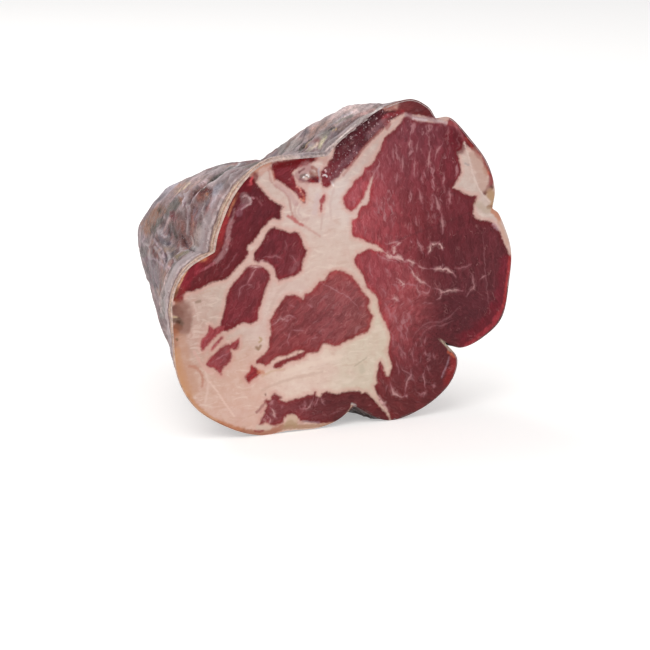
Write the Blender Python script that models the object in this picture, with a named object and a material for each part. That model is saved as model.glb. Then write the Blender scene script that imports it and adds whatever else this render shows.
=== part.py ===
"""A cut piece of cured pork neck (coppa) that rests on its flattened underside.

The piece is one solid. Its flat cut faces -Y, the rounded end points to +Y,
+Z is up. Sizes are in millimetres here and are turned into metres when the
mesh is made.
"""
import math

import bmesh
import bpy

for old in list(bpy.data.objects):
    bpy.data.objects.remove(old)

MM = 0.001

# How far the piece reaches back from the cut.
LENGTH = 102.0

# The middle of the cut face: x across, z up.
MIDDLE_X = 0.0
MIDDLE_Z = 46.0

# Outline of the cut, clockwise as seen from the front. Each lobe is one
# bundle of muscle or fat that pushes the casing out. All lobes but "fat"
# begin in a sharp crease.
LOBES = (
    ("crown", True, ((-6.5, 82.6), (-3.2, 85.8), (2.7, 89.9), (11.5, 95.3), (20.7, 97.7), (26.8, 95.2))),
    ("shoulder", True, ((29.6, 91.5), (34.8, 91.2), (41.5, 84.5), (47.2, 77.2), (50, 69))),
    ("eye", True, ((49.3, 62.8), (52, 60.2), (55.9, 50), (55.5, 40), (53.2, 28.8), (46.5, 22.9), (39, 20.4))),
    ("heel", True, ((33.2, 22.8), (37.8, 16.8), (34.8, 9), (25.5, 2.6), (14, 0.2))),
    ("belly", True, ((3, 5.8), (-3, 1.9), (-10, 0.3), (-19, 0.5))),
    ("fat", False, ((-28, 0.1), (-38, 3.4), (-48.5, 10.4), (-54.3, 20.5), (-55.6, 33), (-55.6, 44.5), (-51, 52.3))),
    ("cheek", True, ((-42.6, 56.8), (-41, 63), (-36.5, 72.5), (-30.3, 79.3), (-24, 82), (-14, 82.5))),
)

# Sections of the body behind the cut. For each: distance from the cut, the
# middle (x, z), then the reach to the left, right, up and down from there.
SECTIONS = (
    (0.0, 0.0, 46.0, 54.0, 54.0, 46.5, 48.0),
    (25.0, -1.0, 47.0, 49.8, 51.5, 40.0, 48.8),
    (50.0, -3.0, 48.0, 42.0, 47.5, 28.4, 49.2),
    (75.0, -6.0, 49.0, 31.0, 39.0, 18.5, 41.5),
    (95.0, -8.0, 48.0, 15.5, 23.0, 10.0, 24.0),
)
# How square the sections are: 2 is an ellipse.
SQUARENESS = 2.1

# Within this distance from the cut the outline turns into the smooth body.
BLEND_RUN = 12.0
BLEND_POWER = 1.3

# Folds of the casing that run lengthwise. For each: direction seen from the
# front in degrees (0 is right, 90 is up), depth, half width in degrees, and
# the distance in which it fades out. A negative depth is a swelling.
FOLDS = (
    ("between crown and cheek", 118.0, 9.0, 31.0, 300.0),
    ("back of the crown", 80.0, -5.0, 16.0, 30.0),
    ("top of the cheek", 140.0, -2.2, 24.0, 80.0),
    ("valley beside the crown", 107.0, 4.5, 17.0, 100.0),
    ("above the fat", 166.0, 2.5, 9.0, 40.0),
    ("slit above the fat", 166.0, 1.6, 3.5, 11.0),
    ("behind the belly", 274.0, 3.0, 10.0, 40.0),
    ("behind the heel", 325.0, 5.0, 9.0, 80.0),
    ("below the shoulder", 19.0, 1.5, 5.0, 60.0),
    ("above the shoulder", 57.0, 2.0, 7.0, 60.0),
    ("low on the left", 205.0, 4.2, 27.0, 300.0),
)

# The dried casing stands up in one ridge along the left of the cut.
RIDGE_BEHIND_CUT = 4.2
RIDGE_HALF_WIDTH = 1.7
RIDGE_HEIGHT = 0.9
RIDGE_DIRECTION = 190.0
RIDGE_SPREAD = 55.0

# A string once lay around the cheek and left a dent across it.
STRING_BEHIND_CUT = 11.5
STRING_HALF_WIDTH = 2.8
STRING_DEPTH = 2.0
STRING_DIRECTION = 140.0
STRING_SPREAD = 28.0

# Hollows where the meat shrank while it dried. For each: distance from the
# cut, direction, depth and half width. The last one is a bulge.
HOLLOWS = (
    (30.0, 152.0, 1.0, 8.0),
    (48.0, 183.0, 1.2, 11.0),
    (60.0, 75.0, 1.6, 12.0),
    (34.0, 40.0, 1.6, 12.0),
    (55.0, 5.0, 1.5, 13.0),
    (70.0, 335.0, 1.4, 12.0),
    (40.0, 305.0, 1.2, 11.0),
    (78.0, 220.0, 1.3, 11.0),
    (26.0, 18.0, 1.0, 8.0),
    (8.0, 82.0, -3.0, 9.0),
)

# The casing was gathered at the rounded end: shallow pleats run into it.
PLEATS = 11
PLEAT_DEPTH = 0.9
PLEATS_BEGIN = 62.0

# Mesh steps around the outline and along the length.
AROUND_STEP = 2.7
RINGS = 34
EVEN_SHARE = 0.4


def between(p0, p1, p2, p3, t):
    """One value of a smooth curve from p1 to p2."""
    rise = (p2 - p0) * t
    bend = (2 * p0 - 5 * p1 + 4 * p2 - p3) * t * t
    turn = (-p0 + 3 * p1 - 3 * p2 + p3) * t ** 3
    return 0.5 * (2 * p1 + rise + bend + turn)


def smooth_line(points, steps):
    """Points of a smooth curve through the given ones, without the last."""
    first = (2 * points[0][0] - points[1][0], 2 * points[0][1] - points[1][1])
    last = (2 * points[-1][0] - points[-2][0], 2 * points[-1][1] - points[-2][1])
    path = [first] + list(points) + [last]
    line = []
    for i in range(1, len(path) - 2):
        for j in range(steps):
            t = j / steps
            x = between(path[i - 1][0], path[i][0], path[i + 1][0], path[i + 2][0], t)
            z = between(path[i - 1][1], path[i][1], path[i + 1][1], path[i + 2][1], t)
            line.append((x, z))
    return line


def cut_lines():
    """The outline as smooth lines from crease to crease."""
    runs = []
    for name, creased, points in LOBES:
        if creased:
            runs.append(list(points))
        else:
            runs[-1].extend(points)
    lines = []
    for i, run in enumerate(runs):
        following = runs[(i + 1) % len(runs)][0]
        lines.append(smooth_line(run + [following], 16) + [following])
    return lines


def spaced(line, step):
    """Evenly spaced points on a line, from its start to before its end."""
    lengths = [0.0]
    for a, b in zip(line, line[1:]):
        lengths.append(lengths[-1] + math.dist(a, b))
    count = max(2, round(lengths[-1] / step))
    points = []
    k = 0
    for i in range(count):
        goal = lengths[-1] * i / count
        while lengths[k + 1] < goal:
            k += 1
        t = (goal - lengths[k]) / (lengths[k + 1] - lengths[k])
        x = line[k][0] + (line[k + 1][0] - line[k][0]) * t
        z = line[k][1] + (line[k + 1][1] - line[k][1]) * t
        points.append((x, z))
    return points


def end_taper(back):
    """Share of the full section that is left this far behind the cut."""
    return math.sqrt(max(0.0, 1.0 - (back / LENGTH) ** 3))


def section(back):
    """Middle and reaches of the body at a distance behind the cut."""
    rows = []
    for row in SECTIONS:
        full = 1.0 / end_taper(row[0])
        rows.append((row[0], row[1], row[2]) + tuple(value * full for value in row[3:]))
    k = 0
    while k < len(rows) - 2 and rows[k + 1][0] < back:
        k += 1
    before = rows[max(k - 1, 0)]
    after = rows[min(k + 2, len(rows) - 1)]
    t = (back - rows[k][0]) / (rows[k + 1][0] - rows[k][0])
    values = [between(before[i], rows[k][i], rows[k + 1][i], after[i], t) for i in range(1, 7)]
    left = end_taper(back)
    return values[:2] + [value * left for value in values[2:]]


def turn_between(angle, direction):
    """Difference of two directions, -180 to 180 degrees."""
    return (angle - direction + 180.0) % 360.0 - 180.0


def body_point(back, angle, cut_radius):
    """Point of the casing for a distance behind the cut and a direction."""
    mid_x, mid_z, left, right, up, down = section(back)
    c = math.cos(math.radians(angle))
    s = math.sin(math.radians(angle))
    across = right if c > 0 else left
    along = up if s > 0 else down
    if across < 1e-6 or along < 1e-6:
        return (mid_x, mid_z)
    radius = (abs(c / across) ** SQUARENESS + abs(s / along) ** SQUARENESS) ** (-1 / SQUARENESS)
    size = min(1.0, up / SECTIONS[0][5])
    for name, direction, depth, half_width, run in FOLDS:
        aside = abs(turn_between(angle, direction)) / half_width
        if aside < 1:
            radius -= depth * size * (1 - aside ** 1.5) ** 1.5 * math.exp(-back / run)
    if back > PLEATS_BEGIN:
        into = (back - PLEATS_BEGIN) / (LENGTH - PLEATS_BEGIN)
        wave = 0.5 + 0.5 * math.cos(math.radians(angle * PLEATS) + 1.3 * math.sin(math.radians(angle * 3)))
        radius -= PLEAT_DEPTH * wave * 4 * into * (1 - into)
    for hollow_back, direction, depth, half_width in HOLLOWS:
        far = (back - hollow_back) / half_width
        aside = math.radians(turn_between(angle, direction)) * radius / half_width
        radius -= depth * math.exp(-far * far - aside * aside)
    string = STRING_DEPTH * math.exp(-((back - STRING_BEHIND_CUT) / STRING_HALF_WIDTH) ** 2)
    radius -= string * math.exp(-(turn_between(angle, STRING_DIRECTION) / STRING_SPREAD) ** 4)
    ridge = RIDGE_HEIGHT * math.exp(-((back - RIDGE_BEHIND_CUT) / RIDGE_HALF_WIDTH) ** 2)
    ridge *= math.exp(-(turn_between(angle, RIDGE_DIRECTION) / RIDGE_SPREAD) ** 4)
    near = math.exp(-(back / BLEND_RUN) ** BLEND_POWER)
    x = mid_x + radius * c
    z = mid_z + radius * s
    cut_x = MIDDLE_X + cut_radius * c
    cut_z = MIDDLE_Z + cut_radius * s
    x += (cut_x - x) * near + ridge * c
    z += (cut_z - z) * near + ridge * s
    return (x, max(z, 0.0))


def build():
    """Make the solid and return its object."""
    outline = []
    for line in cut_lines():
        outline.extend(spaced(line, AROUND_STEP))
    spokes = []
    for x, z in outline:
        angle = math.degrees(math.atan2(z - MIDDLE_Z, x - MIDDLE_X)) % 360.0
        spokes.append((angle, math.hypot(x - MIDDLE_X, z - MIDDLE_Z)))

    rings = []
    for i in range(RINGS):
        t = i / RINGS
        back = LENGTH * (EVEN_SHARE * t + (1 - EVEN_SHARE) * (0.5 - 0.5 * math.cos(math.pi * t)))
        ring = []
        for angle, radius in spokes:
            x, z = body_point(back, angle, radius)
            ring.append((x, back, max(z, 0.0)))
        rings.append(ring)
    tip = section(LENGTH * 0.9999)
    tip = (tip[0], LENGTH, tip[1])

    # The origin lies in the middle of the box, on the ground.
    xs = [point[0] for ring in rings for point in ring]
    shift_x = -0.5 * (min(xs) + max(xs))
    shift_y = -0.5 * LENGTH

    mesh = bmesh.new()

    def corner(point):
        return mesh.verts.new(((point[0] + shift_x) * MM, (point[1] + shift_y) * MM, point[2] * MM))

    grid = [[corner(point) for point in ring] for ring in rings]
    end = corner(tip)
    count = len(spokes)
    mesh.faces.new(grid[0])
    for near_ring, far_ring in zip(grid, grid[1:]):
        for j in range(count):
            k = (j + 1) % count
            mesh.faces.new((near_ring[j], near_ring[k], far_ring[k], far_ring[j]))
    for j in range(count):
        mesh.faces.new((grid[-1][j], grid[-1][(j + 1) % count], end))
    bmesh.ops.recalc_face_normals(mesh, faces=mesh.faces)
    bmesh.ops.triangulate(mesh, faces=mesh.faces)

    data = bpy.data.meshes.new("coppa")
    mesh.to_mesh(data)
    mesh.free()
    data.shade_smooth()
    data.set_sharp_from_angle(angle=math.radians(50))
    piece = bpy.data.objects.new("coppa", data)
    bpy.context.scene.collection.objects.link(piece)
    return piece


def casing_material():
    """Dry casing with the dark red meat showing through."""
    material = bpy.data.materials.new("coppa")
    material.use_nodes = True
    shader = material.node_tree.nodes["Principled BSDF"]
    shader.inputs["Base Color"].default_value = (0.30, 0.12, 0.11, 1.0)
    shader.inputs["Roughness"].default_value = 0.55
    return material


coppa = build()
coppa.data.materials.append(casing_material())
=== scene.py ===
# %% [markdown]
# # A cut piece of coppa
# Coppa is pork neck, salted, tied in a casing and dried for months. One end has been
# cut off straight, so the piece shows two very different surfaces: the moist cut with
# its red muscles in ivory fat, and the dry, crumpled casing with grey and brown mould.
# Both are one solid in the CAD model. Here that solid is dressed with two fine meshes:
# one for the cut and one for the casing.

# %% Load the frame
import bpy
import itertools
import math
import numpy as np
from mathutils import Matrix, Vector


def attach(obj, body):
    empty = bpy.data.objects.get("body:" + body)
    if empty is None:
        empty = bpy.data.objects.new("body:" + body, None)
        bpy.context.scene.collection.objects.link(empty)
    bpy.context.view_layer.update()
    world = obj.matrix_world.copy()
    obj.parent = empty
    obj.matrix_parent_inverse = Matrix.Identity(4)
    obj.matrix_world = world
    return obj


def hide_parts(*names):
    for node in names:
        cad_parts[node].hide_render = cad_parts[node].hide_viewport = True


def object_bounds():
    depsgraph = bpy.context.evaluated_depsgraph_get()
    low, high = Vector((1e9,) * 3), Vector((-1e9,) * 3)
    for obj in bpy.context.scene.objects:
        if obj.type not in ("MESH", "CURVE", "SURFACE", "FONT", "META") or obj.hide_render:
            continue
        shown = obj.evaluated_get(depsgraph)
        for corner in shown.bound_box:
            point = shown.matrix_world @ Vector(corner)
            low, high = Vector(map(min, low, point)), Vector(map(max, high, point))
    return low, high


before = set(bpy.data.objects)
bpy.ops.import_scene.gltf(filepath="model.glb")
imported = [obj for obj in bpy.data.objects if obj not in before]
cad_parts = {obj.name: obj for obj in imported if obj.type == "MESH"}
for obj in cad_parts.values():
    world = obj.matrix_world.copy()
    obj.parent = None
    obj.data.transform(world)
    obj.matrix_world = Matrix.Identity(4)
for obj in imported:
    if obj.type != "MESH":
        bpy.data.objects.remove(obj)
cad_box = [list(corner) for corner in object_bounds()]
MM = 0.001
print("CAD box in mm:", [[round(value / MM, 1) for value in corner] for corner in cad_box])

# %% [markdown]
# ## The camera
# A camera is placed first, because the pattern of the cut is drawn as the camera sees
# it. It stands low and to the left of the cut, about 0.8 m away, with a long lens.
# `on_cut` sends a ray through a point of the picture and gives the place where it meets
# the plane of the cut. So an outline can be read off the picture in its own points, and
# still lies on the meat in millimetres. Such points are written x, y, x, y and so on.

# %% Camera
PICTURE = 650
SENSOR = 36.0
LENS = 143.909
CAMERA_AT = np.array([-326.35, -735.73, 193.70])
CAMERA_TURN = math.radians(25.0)
CAMERA_TILT = math.radians(12.098)
CUT_Y = cad_box[0][1] / MM

looks_at = Vector((
    math.sin(CAMERA_TURN) * math.cos(CAMERA_TILT),
    math.cos(CAMERA_TURN) * math.cos(CAMERA_TILT),
    -math.sin(CAMERA_TILT),
))
camera = bpy.data.objects.new("camera", bpy.data.cameras.new("camera"))
camera.data.sensor_width = SENSOR
camera.data.lens = LENS
camera.data.clip_start = 0.01
camera.location = CAMERA_AT * MM
camera.rotation_mode = "QUATERNION"
camera.rotation_quaternion = looks_at.to_track_quat("-Z", "Y")
bpy.context.scene.collection.objects.link(camera)
bpy.context.scene.camera = camera

camera_turn = np.array(camera.rotation_quaternion.to_matrix())
POINTS_PER_UNIT = LENS / SENSOR * PICTURE


def as_points(numbers):
    """Rows of points; a plain list of numbers holds x and y in turn."""
    points = np.asarray(numbers, float)
    return points.reshape(-1, 2) if points.ndim == 1 else points


def on_cut(points):
    """Places (x, z) in mm on the plane of the cut for points of the picture."""
    points = as_points(points)
    right = (points[:, 0] - PICTURE / 2) / POINTS_PER_UNIT
    up = -(points[:, 1] - PICTURE / 2) / POINTS_PER_UNIT
    rays = np.stack([right, up, -np.ones(len(points))], 1) @ camera_turn.T
    reach = (CUT_Y - CAMERA_AT[1]) / rays[:, 1]
    return (CAMERA_AT + rays * reach[:, None])[:, (0, 2)]


def in_picture(places):
    """Points of the picture for places (x, y, z) in mm, and how far away they are."""
    seen = (places - CAMERA_AT) @ camera_turn
    far = -seen[:, 2]
    across = PICTURE / 2 + POINTS_PER_UNIT * seen[:, 0] / far
    down = PICTURE / 2 - POINTS_PER_UNIT * seen[:, 1] / far
    return np.stack([across, down], 1), far


print("middle of the cut in the picture:", in_picture(np.array([[0, CUT_Y, 46.0]]))[0].round(1))

# %% [markdown]
# ## Noise in plain numpy
# Dried meat has no two places alike. The lumps, wrinkles and stains all start from one
# smooth random field. A slope is drawn for every corner of a coarse grid, and the field
# blends them in between. The table is drawn from a fixed seed, so each run is the same.
# A random tiling serves where skin wrinkles into a net: its borders are the wrinkles.

# %% Noise


def noise(places, size, seed):
    """Smooth random values of about -1 to 1, with lumps of a size in mm."""
    draw = np.random.default_rng(seed)
    order = draw.permutation(256)
    slopes = draw.normal(size=(256, 3))
    slopes /= np.linalg.norm(slopes, axis=1)[:, None]
    spots = places / size
    cells = np.floor(spots).astype(int)
    inside = spots - cells
    fade = inside ** 3 * (inside * (inside * 6 - 15) + 10)
    total = np.zeros(len(places))
    for corner in itertools.product((0, 1), repeat=3):
        at = (cells + corner) & 255
        pick = order[(order[(order[at[:, 0]] + at[:, 1]) & 255] + at[:, 2]) & 255]
        share = np.prod(np.where(corner, fade, 1 - fade), axis=1)
        total += share * np.einsum("ij,ij->i", slopes[pick], inside - corner)
    return total * 1.6


def ramp(values, low, high):
    """0 below low, 1 above high, and a smooth rise between."""
    t = np.clip((values - low) / (high - low), 0, 1)
    return t * t * (3 - 2 * t)


def cells(places, size, seed):
    """A random tiling: the way in mm to the border of the own cell, and that cell's number from 0 to 1."""
    local = places / size
    local = local - np.floor(local.min(0)) + 1
    home = local.astype(int)
    table = np.random.default_rng(seed).random((*(home.max(0) + 2), 4))
    first = np.full(len(places), np.inf)
    second = first.copy()
    own = np.zeros(len(places))
    for step in itertools.product((-1, 0, 1), repeat=3):
        near = home + step
        row = table[near[:, 0], near[:, 1], near[:, 2]]
        away = np.linalg.norm(near + row[:, :3] - local, axis=1)
        closer = away < first
        second = np.where(closer, first, np.minimum(second, away))
        own = np.where(closer, row[:, 3], own)
        first = np.where(closer, away, first)
    return (second - first) * size / 2, own


# %% [markdown]
# ## The outline of the cut
# The casing bulges over each bundle of muscle and pulls in between them, so the outline
# is a ring of lobes that meet in creases. It is the outline of the CAD solid, repeated
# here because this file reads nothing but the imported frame.

# %% Outline
MIDDLE = np.array([0.0, 46.0])
LOBES = (
    ("crown", True, ((-6.5, 82.6), (-3.2, 85.8), (2.7, 89.9), (11.5, 95.3), (20.7, 97.7), (26.8, 95.2))),
    ("shoulder", True, ((29.6, 91.5), (34.8, 91.2), (41.5, 84.5), (47.2, 77.2), (50, 69))),
    ("eye", True, ((49.3, 62.8), (52, 60.2), (55.9, 50), (55.5, 40), (53.2, 28.8), (46.5, 22.9), (39, 20.4))),
    ("heel", True, ((33.2, 22.8), (37.8, 16.8), (34.8, 9), (25.5, 2.6), (14, 0.2))),
    ("belly", True, ((3, 5.8), (-3, 1.9), (-10, 0.3), (-19, 0.5))),
    ("fat", False, ((-28, 0.1), (-38, 3.4), (-48.5, 10.4), (-54.3, 20.5), (-55.6, 33), (-55.6, 44.5),
                    (-51, 52.3))),
    ("cheek", True, ((-42.6, 56.8), (-41, 63), (-36.5, 72.5), (-30.3, 79.3), (-24, 82), (-14, 82.5))),
)
RIM_STEP = 0.68


def curve(points, steps, closed=False):
    """A smooth line through the points, as an array."""
    points = as_points(points)
    if closed:
        path = np.concatenate([points[-1:], points, points[:2]])
    else:
        path = np.concatenate([2 * points[:1] - points[1:2], points, 2 * points[-1:] - points[-2:-1]])
    t = np.arange(steps)[:, None] / steps
    pieces = []
    for i in range(1, len(path) - 2):
        a, b, c, d = path[i - 1:i + 3]
        pieces.append(0.5 * (2 * b + (c - a) * t + (2 * a - 5 * b + 4 * c - d) * t ** 2
                             + (3 * b - a - 3 * c + d) * t ** 3))
    if not closed:
        pieces.append(points[-1:])
    return np.concatenate(pieces)


def spaced(line, step):
    """Even steps along a line, from its start to before its end."""
    lengths = np.concatenate([[0], np.cumsum(np.linalg.norm(np.diff(line, axis=0), axis=1))])
    goals = lengths[-1] * np.arange(max(2, round(lengths[-1] / step))) / max(2, round(lengths[-1] / step))
    return np.stack([np.interp(goals, lengths, line[:, k]) for k in (0, 1)], 1)


def cut_outline():
    """The outline of the cut, from crease to crease, before the origin is moved."""
    runs = []
    for name, creased, points in LOBES:
        if creased:
            runs.append(list(points))
        else:
            runs[-1].extend(points)
    lines = []
    for i, run in enumerate(runs):
        following = runs[(i + 1) % len(runs)][0]
        lines.append(spaced(curve(run + [following], 16), RIM_STEP))
    return np.concatenate(lines)


rim = cut_outline()
rim_angle = np.degrees(np.arctan2(rim[:, 1] - MIDDLE[1], rim[:, 0] - MIDDLE[0])) % 360
rim_radius = np.linalg.norm(rim - MIDDLE, axis=1)
print(len(rim), "points round the cut, size", np.ptp(rim, axis=0).round(1), "mm")

# %% [markdown]
# ## The body behind the cut
# Behind the cut the lobes melt into one rounded body that is lower at the back. The
# same few sections, folds and hollows as in the CAD solid give its shape, so that the
# casing lies on the solid wherever it is looked at from.

# %% Body
LENGTH = 102.0
SECTIONS = (
    (0.0, 0.0, 46.0, 54.0, 54.0, 46.5, 48.0),
    (25.0, -1.0, 47.0, 49.8, 51.5, 40.0, 48.8),
    (50.0, -3.0, 48.0, 42.0, 47.5, 28.4, 49.2),
    (75.0, -6.0, 49.0, 31.0, 39.0, 18.5, 41.5),
    (95.0, -8.0, 48.0, 15.5, 23.0, 10.0, 24.0),
)
SQUARENESS = 2.1
BLEND_RUN = 12.0
BLEND_POWER = 1.3
FOLDS = (
    ("between crown and cheek", 118.0, 9.0, 31.0, 300.0),
    ("back of the crown", 80.0, -5.0, 16.0, 30.0),
    ("top of the cheek", 140.0, -2.2, 24.0, 80.0),
    ("valley beside the crown", 107.0, 4.5, 17.0, 100.0),
    ("above the fat", 166.0, 2.5, 9.0, 40.0),
    ("slit above the fat", 166.0, 1.6, 3.5, 11.0),
    ("behind the belly", 274.0, 3.0, 10.0, 40.0),
    ("behind the heel", 325.0, 5.0, 9.0, 80.0),
    ("below the shoulder", 19.0, 1.5, 5.0, 60.0),
    ("above the shoulder", 57.0, 2.0, 7.0, 60.0),
    ("low on the left", 205.0, 4.2, 27.0, 300.0),
)
HOLLOWS = (
    (30.0, 152.0, 1.0, 8.0),
    (48.0, 183.0, 1.2, 11.0),
    (60.0, 75.0, 1.6, 12.0),
    (34.0, 40.0, 1.6, 12.0),
    (55.0, 5.0, 1.5, 13.0),
    (70.0, 335.0, 1.4, 12.0),
    (40.0, 305.0, 1.2, 11.0),
    (78.0, 220.0, 1.3, 11.0),
    (26.0, 18.0, 1.0, 8.0),
    (8.0, 82.0, -3.0, 9.0),
)
STRING = {"behind": 11.5, "half_width": 2.8, "depth": 2.0, "direction": 140.0, "spread": 28.0}
RIDGE = {"behind": 4.2, "half_width": 1.7, "height": 0.9, "direction": 190.0, "spread": 55.0}
PLEATS = 11
PLEAT_DEPTH = 0.9
PLEATS_BEGIN = 62.0


def turn_between(angle, direction):
    """Difference of two directions, -180 to 180 degrees."""
    return (angle - direction + 180) % 360 - 180


def section(back):
    """Middle and reaches of the body for each distance behind the cut."""
    table = np.array(SECTIONS)
    table[:, 3:] /= np.sqrt(1 - (table[:, :1] / LENGTH) ** 3)
    k = np.clip(np.searchsorted(table[:, 0], back, side="left") - 1, 0, len(table) - 2)
    a = table[np.clip(k - 1, 0, None)]
    b = table[k]
    c = table[k + 1]
    d = table[np.clip(k + 2, None, len(table) - 1)]
    t = ((back - b[:, 0]) / (c[:, 0] - b[:, 0]))[:, None]
    values = 0.5 * (2 * b + (c - a) * t + (2 * a - 5 * b + 4 * c - d) * t ** 2
                    + (3 * b - a - 3 * c + d) * t ** 3)
    values[:, 3:] *= np.sqrt(np.clip(1 - (back[:, None] / LENGTH) ** 3, 0, 1))
    return values[:, 1:]


def body(back, angle, cut_radius):
    """Places x and z of the casing: one row for each distance, one column for each direction."""
    mid_x, mid_z, left, right, up, down = section(back).T[:, :, None]
    c = np.cos(np.radians(angle))[None]
    s = np.sin(np.radians(angle))[None]
    across = np.maximum(np.where(c > 0, right, left), 1e-6)
    along = np.maximum(np.where(s > 0, up, down), 1e-6)
    radius = (np.abs(c / across) ** SQUARENESS + np.abs(s / along) ** SQUARENESS) ** (-1 / SQUARENESS)
    size = np.minimum(1, up / SECTIONS[0][5])
    behind = back[:, None]
    for name, direction, depth, half_width, run in FOLDS:
        aside = np.clip(np.abs(turn_between(angle, direction)) / half_width, 0, 1)[None]
        radius = radius - depth * size * (1 - aside ** 1.5) ** 1.5 * np.exp(-behind / run)
    into = np.clip((behind - PLEATS_BEGIN) / (LENGTH - PLEATS_BEGIN), 0, 1)
    wave = 0.5 + 0.5 * np.cos(np.radians(angle * PLEATS) + 1.3 * np.sin(np.radians(angle * 3)))
    radius = radius - PLEAT_DEPTH * wave[None] * 4 * into * (1 - into)
    for hollow_back, direction, depth, half_width in HOLLOWS:
        far = (behind - hollow_back) / half_width
        aside = np.radians(turn_between(angle, direction))[None] * radius / half_width
        radius = radius - depth * np.exp(-far ** 2 - aside ** 2)
    dent = STRING["depth"] * np.exp(-((behind - STRING["behind"]) / STRING["half_width"]) ** 2)
    radius = radius - dent * np.exp(-(turn_between(angle, STRING["direction"])[None] / STRING["spread"]) ** 4)
    ridge = RIDGE["height"] * np.exp(-((behind - RIDGE["behind"]) / RIDGE["half_width"]) ** 2)
    ridge = ridge * np.exp(-(turn_between(angle, RIDGE["direction"])[None] / RIDGE["spread"]) ** 4)
    near = np.exp(-(behind / BLEND_RUN) ** BLEND_POWER)
    x = mid_x + radius * c
    z = mid_z + radius * s
    x = x + (MIDDLE[0] + cut_radius * c - x) * near + ridge * c
    z = z + (MIDDLE[1] + cut_radius * s - z) * near + ridge * s
    return x, np.maximum(z, 0)


RINGS = 188
EVEN_SHARE = 0.45
ring_share = np.arange(RINGS) / RINGS
ring_back = LENGTH * (EVEN_SHARE * ring_share
                      + (1 - EVEN_SHARE) * (0.5 - 0.5 * np.cos(math.pi * ring_share)))
plain_x, plain_z = body(ring_back, rim_angle, rim_radius)
SHIFT_X = -0.5 * (plain_x.min() + plain_x.max())
print("the origin lies", round(-SHIFT_X, 2), "mm to the right of the outline's own zero")

# %% [markdown]
# ## Places on the casing
# The casing is a grid: rings behind the cut, and columns around them. To put a stain or
# a ridge where it was seen, each grid point is given its place in the picture, and a mark
# touches the points that appear near its line. It also fades out for points that lie
# much deeper in space or look away, so it stays one mark from any side.

# %% Grid of the casing
rind = np.stack([plain_x + SHIFT_X, np.repeat(ring_back[:, None] + CUT_Y, len(rim), 1), plain_z], 2)


def outward(grid):
    """Unit normals of a grid that is closed around its columns."""
    along = np.gradient(grid, axis=0)
    around = np.roll(grid, -1, 1) - np.roll(grid, 1, 1)
    normal = np.cross(around, along)
    normal /= np.maximum(np.linalg.norm(normal, axis=2, keepdims=True), 1e-9)
    middle = grid.mean(axis=(0, 1))
    if np.sum(normal * (grid - middle)) < 0:
        normal = -normal
    return normal


rind_normal = outward(rind)
rind_seen = in_picture(rind.reshape(-1, 3))[0]
to_camera = CAMERA_AT - rind.reshape(-1, 3)
to_camera /= np.linalg.norm(to_camera, axis=1)[:, None]
turned = np.einsum("ij,ij->i", rind_normal.reshape(-1, 3), to_camera)
facing = turned > 0
back = np.repeat(ring_back, len(rim))
FAR_COSTS = 0.06
OUT_OF_SIGHT = 1000


def on_casing(points):
    """Places in mm on the casing for points of the picture."""
    places = []
    for point in points:
        away = np.linalg.norm(rind_seen - point, axis=1)
        miss = away + np.where(facing, 0, OUT_OF_SIGHT) + FAR_COSTS * back
        places.append(rind.reshape(-1, 3)[np.argmin(miss)])
    return np.array(places)


def to_line(places, line, chunk=6000):
    """Shortest distance in mm from each place to a line of points."""
    line = np.asarray(line, float)
    if len(line) == 1:
        return np.linalg.norm(places - line[0], axis=1)
    a = line[:-1]
    step = line[1:] - a
    length = np.maximum((step ** 2).sum(1), 1e-9)
    nearest = []
    for first in range(0, len(places), chunk):
        away = places[first:first + chunk, None] - a
        t = np.clip((away * step).sum(2) / length, 0, 1)
        nearest.append(np.sqrt(((away - t[..., None] * step) ** 2).sum(2).min(1)))
    return np.concatenate(nearest)


def touched(points, half_width):
    """Places of the casing that appear near a line of the picture: which, how many half widths off,
    and a share that fades out for places that lie far from the line in depth."""
    points = as_points(points)
    line = curve(points, 3)
    margin = 2.5 * half_width + 3
    near = ((rind_seen > line.min(0) - margin) & (rind_seen < line.max(0) + margin)).all(1)
    pick = np.nonzero(near)[0]
    off = to_line(rind_seen[pick], line) / half_width
    deep = to_line(rind.reshape(-1, 3)[pick], curve(on_casing(points), 3))
    close = 1 - ramp(deep, 4 + 1.5 * half_width, 8 + 2.5 * half_width)
    return pick, off, close * ramp(turned[pick], -0.45, -0.05)


print("columns", len(rim), "rings", RINGS, "facing the camera", int(facing.sum()))

# %% [markdown]
# ## Colours by name
# Colours are written as they appear on a screen, 0 to 255, because that is how a maker
# mixes and compares them. Blender's shaders count light, so each is turned into linear
# values first. `brush` lays one colour over others, as strongly as it is told to.

# %% Colours


def paint(colour):
    """Linear light for a colour written as 0 to 255 on a screen."""
    share = np.asarray(colour, float) / 255
    return np.where(share <= 0.04045, share / 12.92, ((share + 0.055) / 1.055) ** 2.4)


def brush(tones, share, colour):
    """Lay a colour over the tones with a share for each place."""
    return tones + (paint(colour) - tones) * share[:, None]


# %% [markdown]
# ## Relief of the casing
# The casing dried on the meat and crumpled. It has soft lumps, hoops that run around the
# piece, a web of creases in patches, a dent where a string may once have sat, and a hard
# lip where the knife went through. All of it is real geometry: each grid point moves
# along its normal, so the creases catch the light and survive an export. Creases that
# can be told apart are drawn one by one, and the rest comes from noise and from the
# borders of a random tiling.

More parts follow.
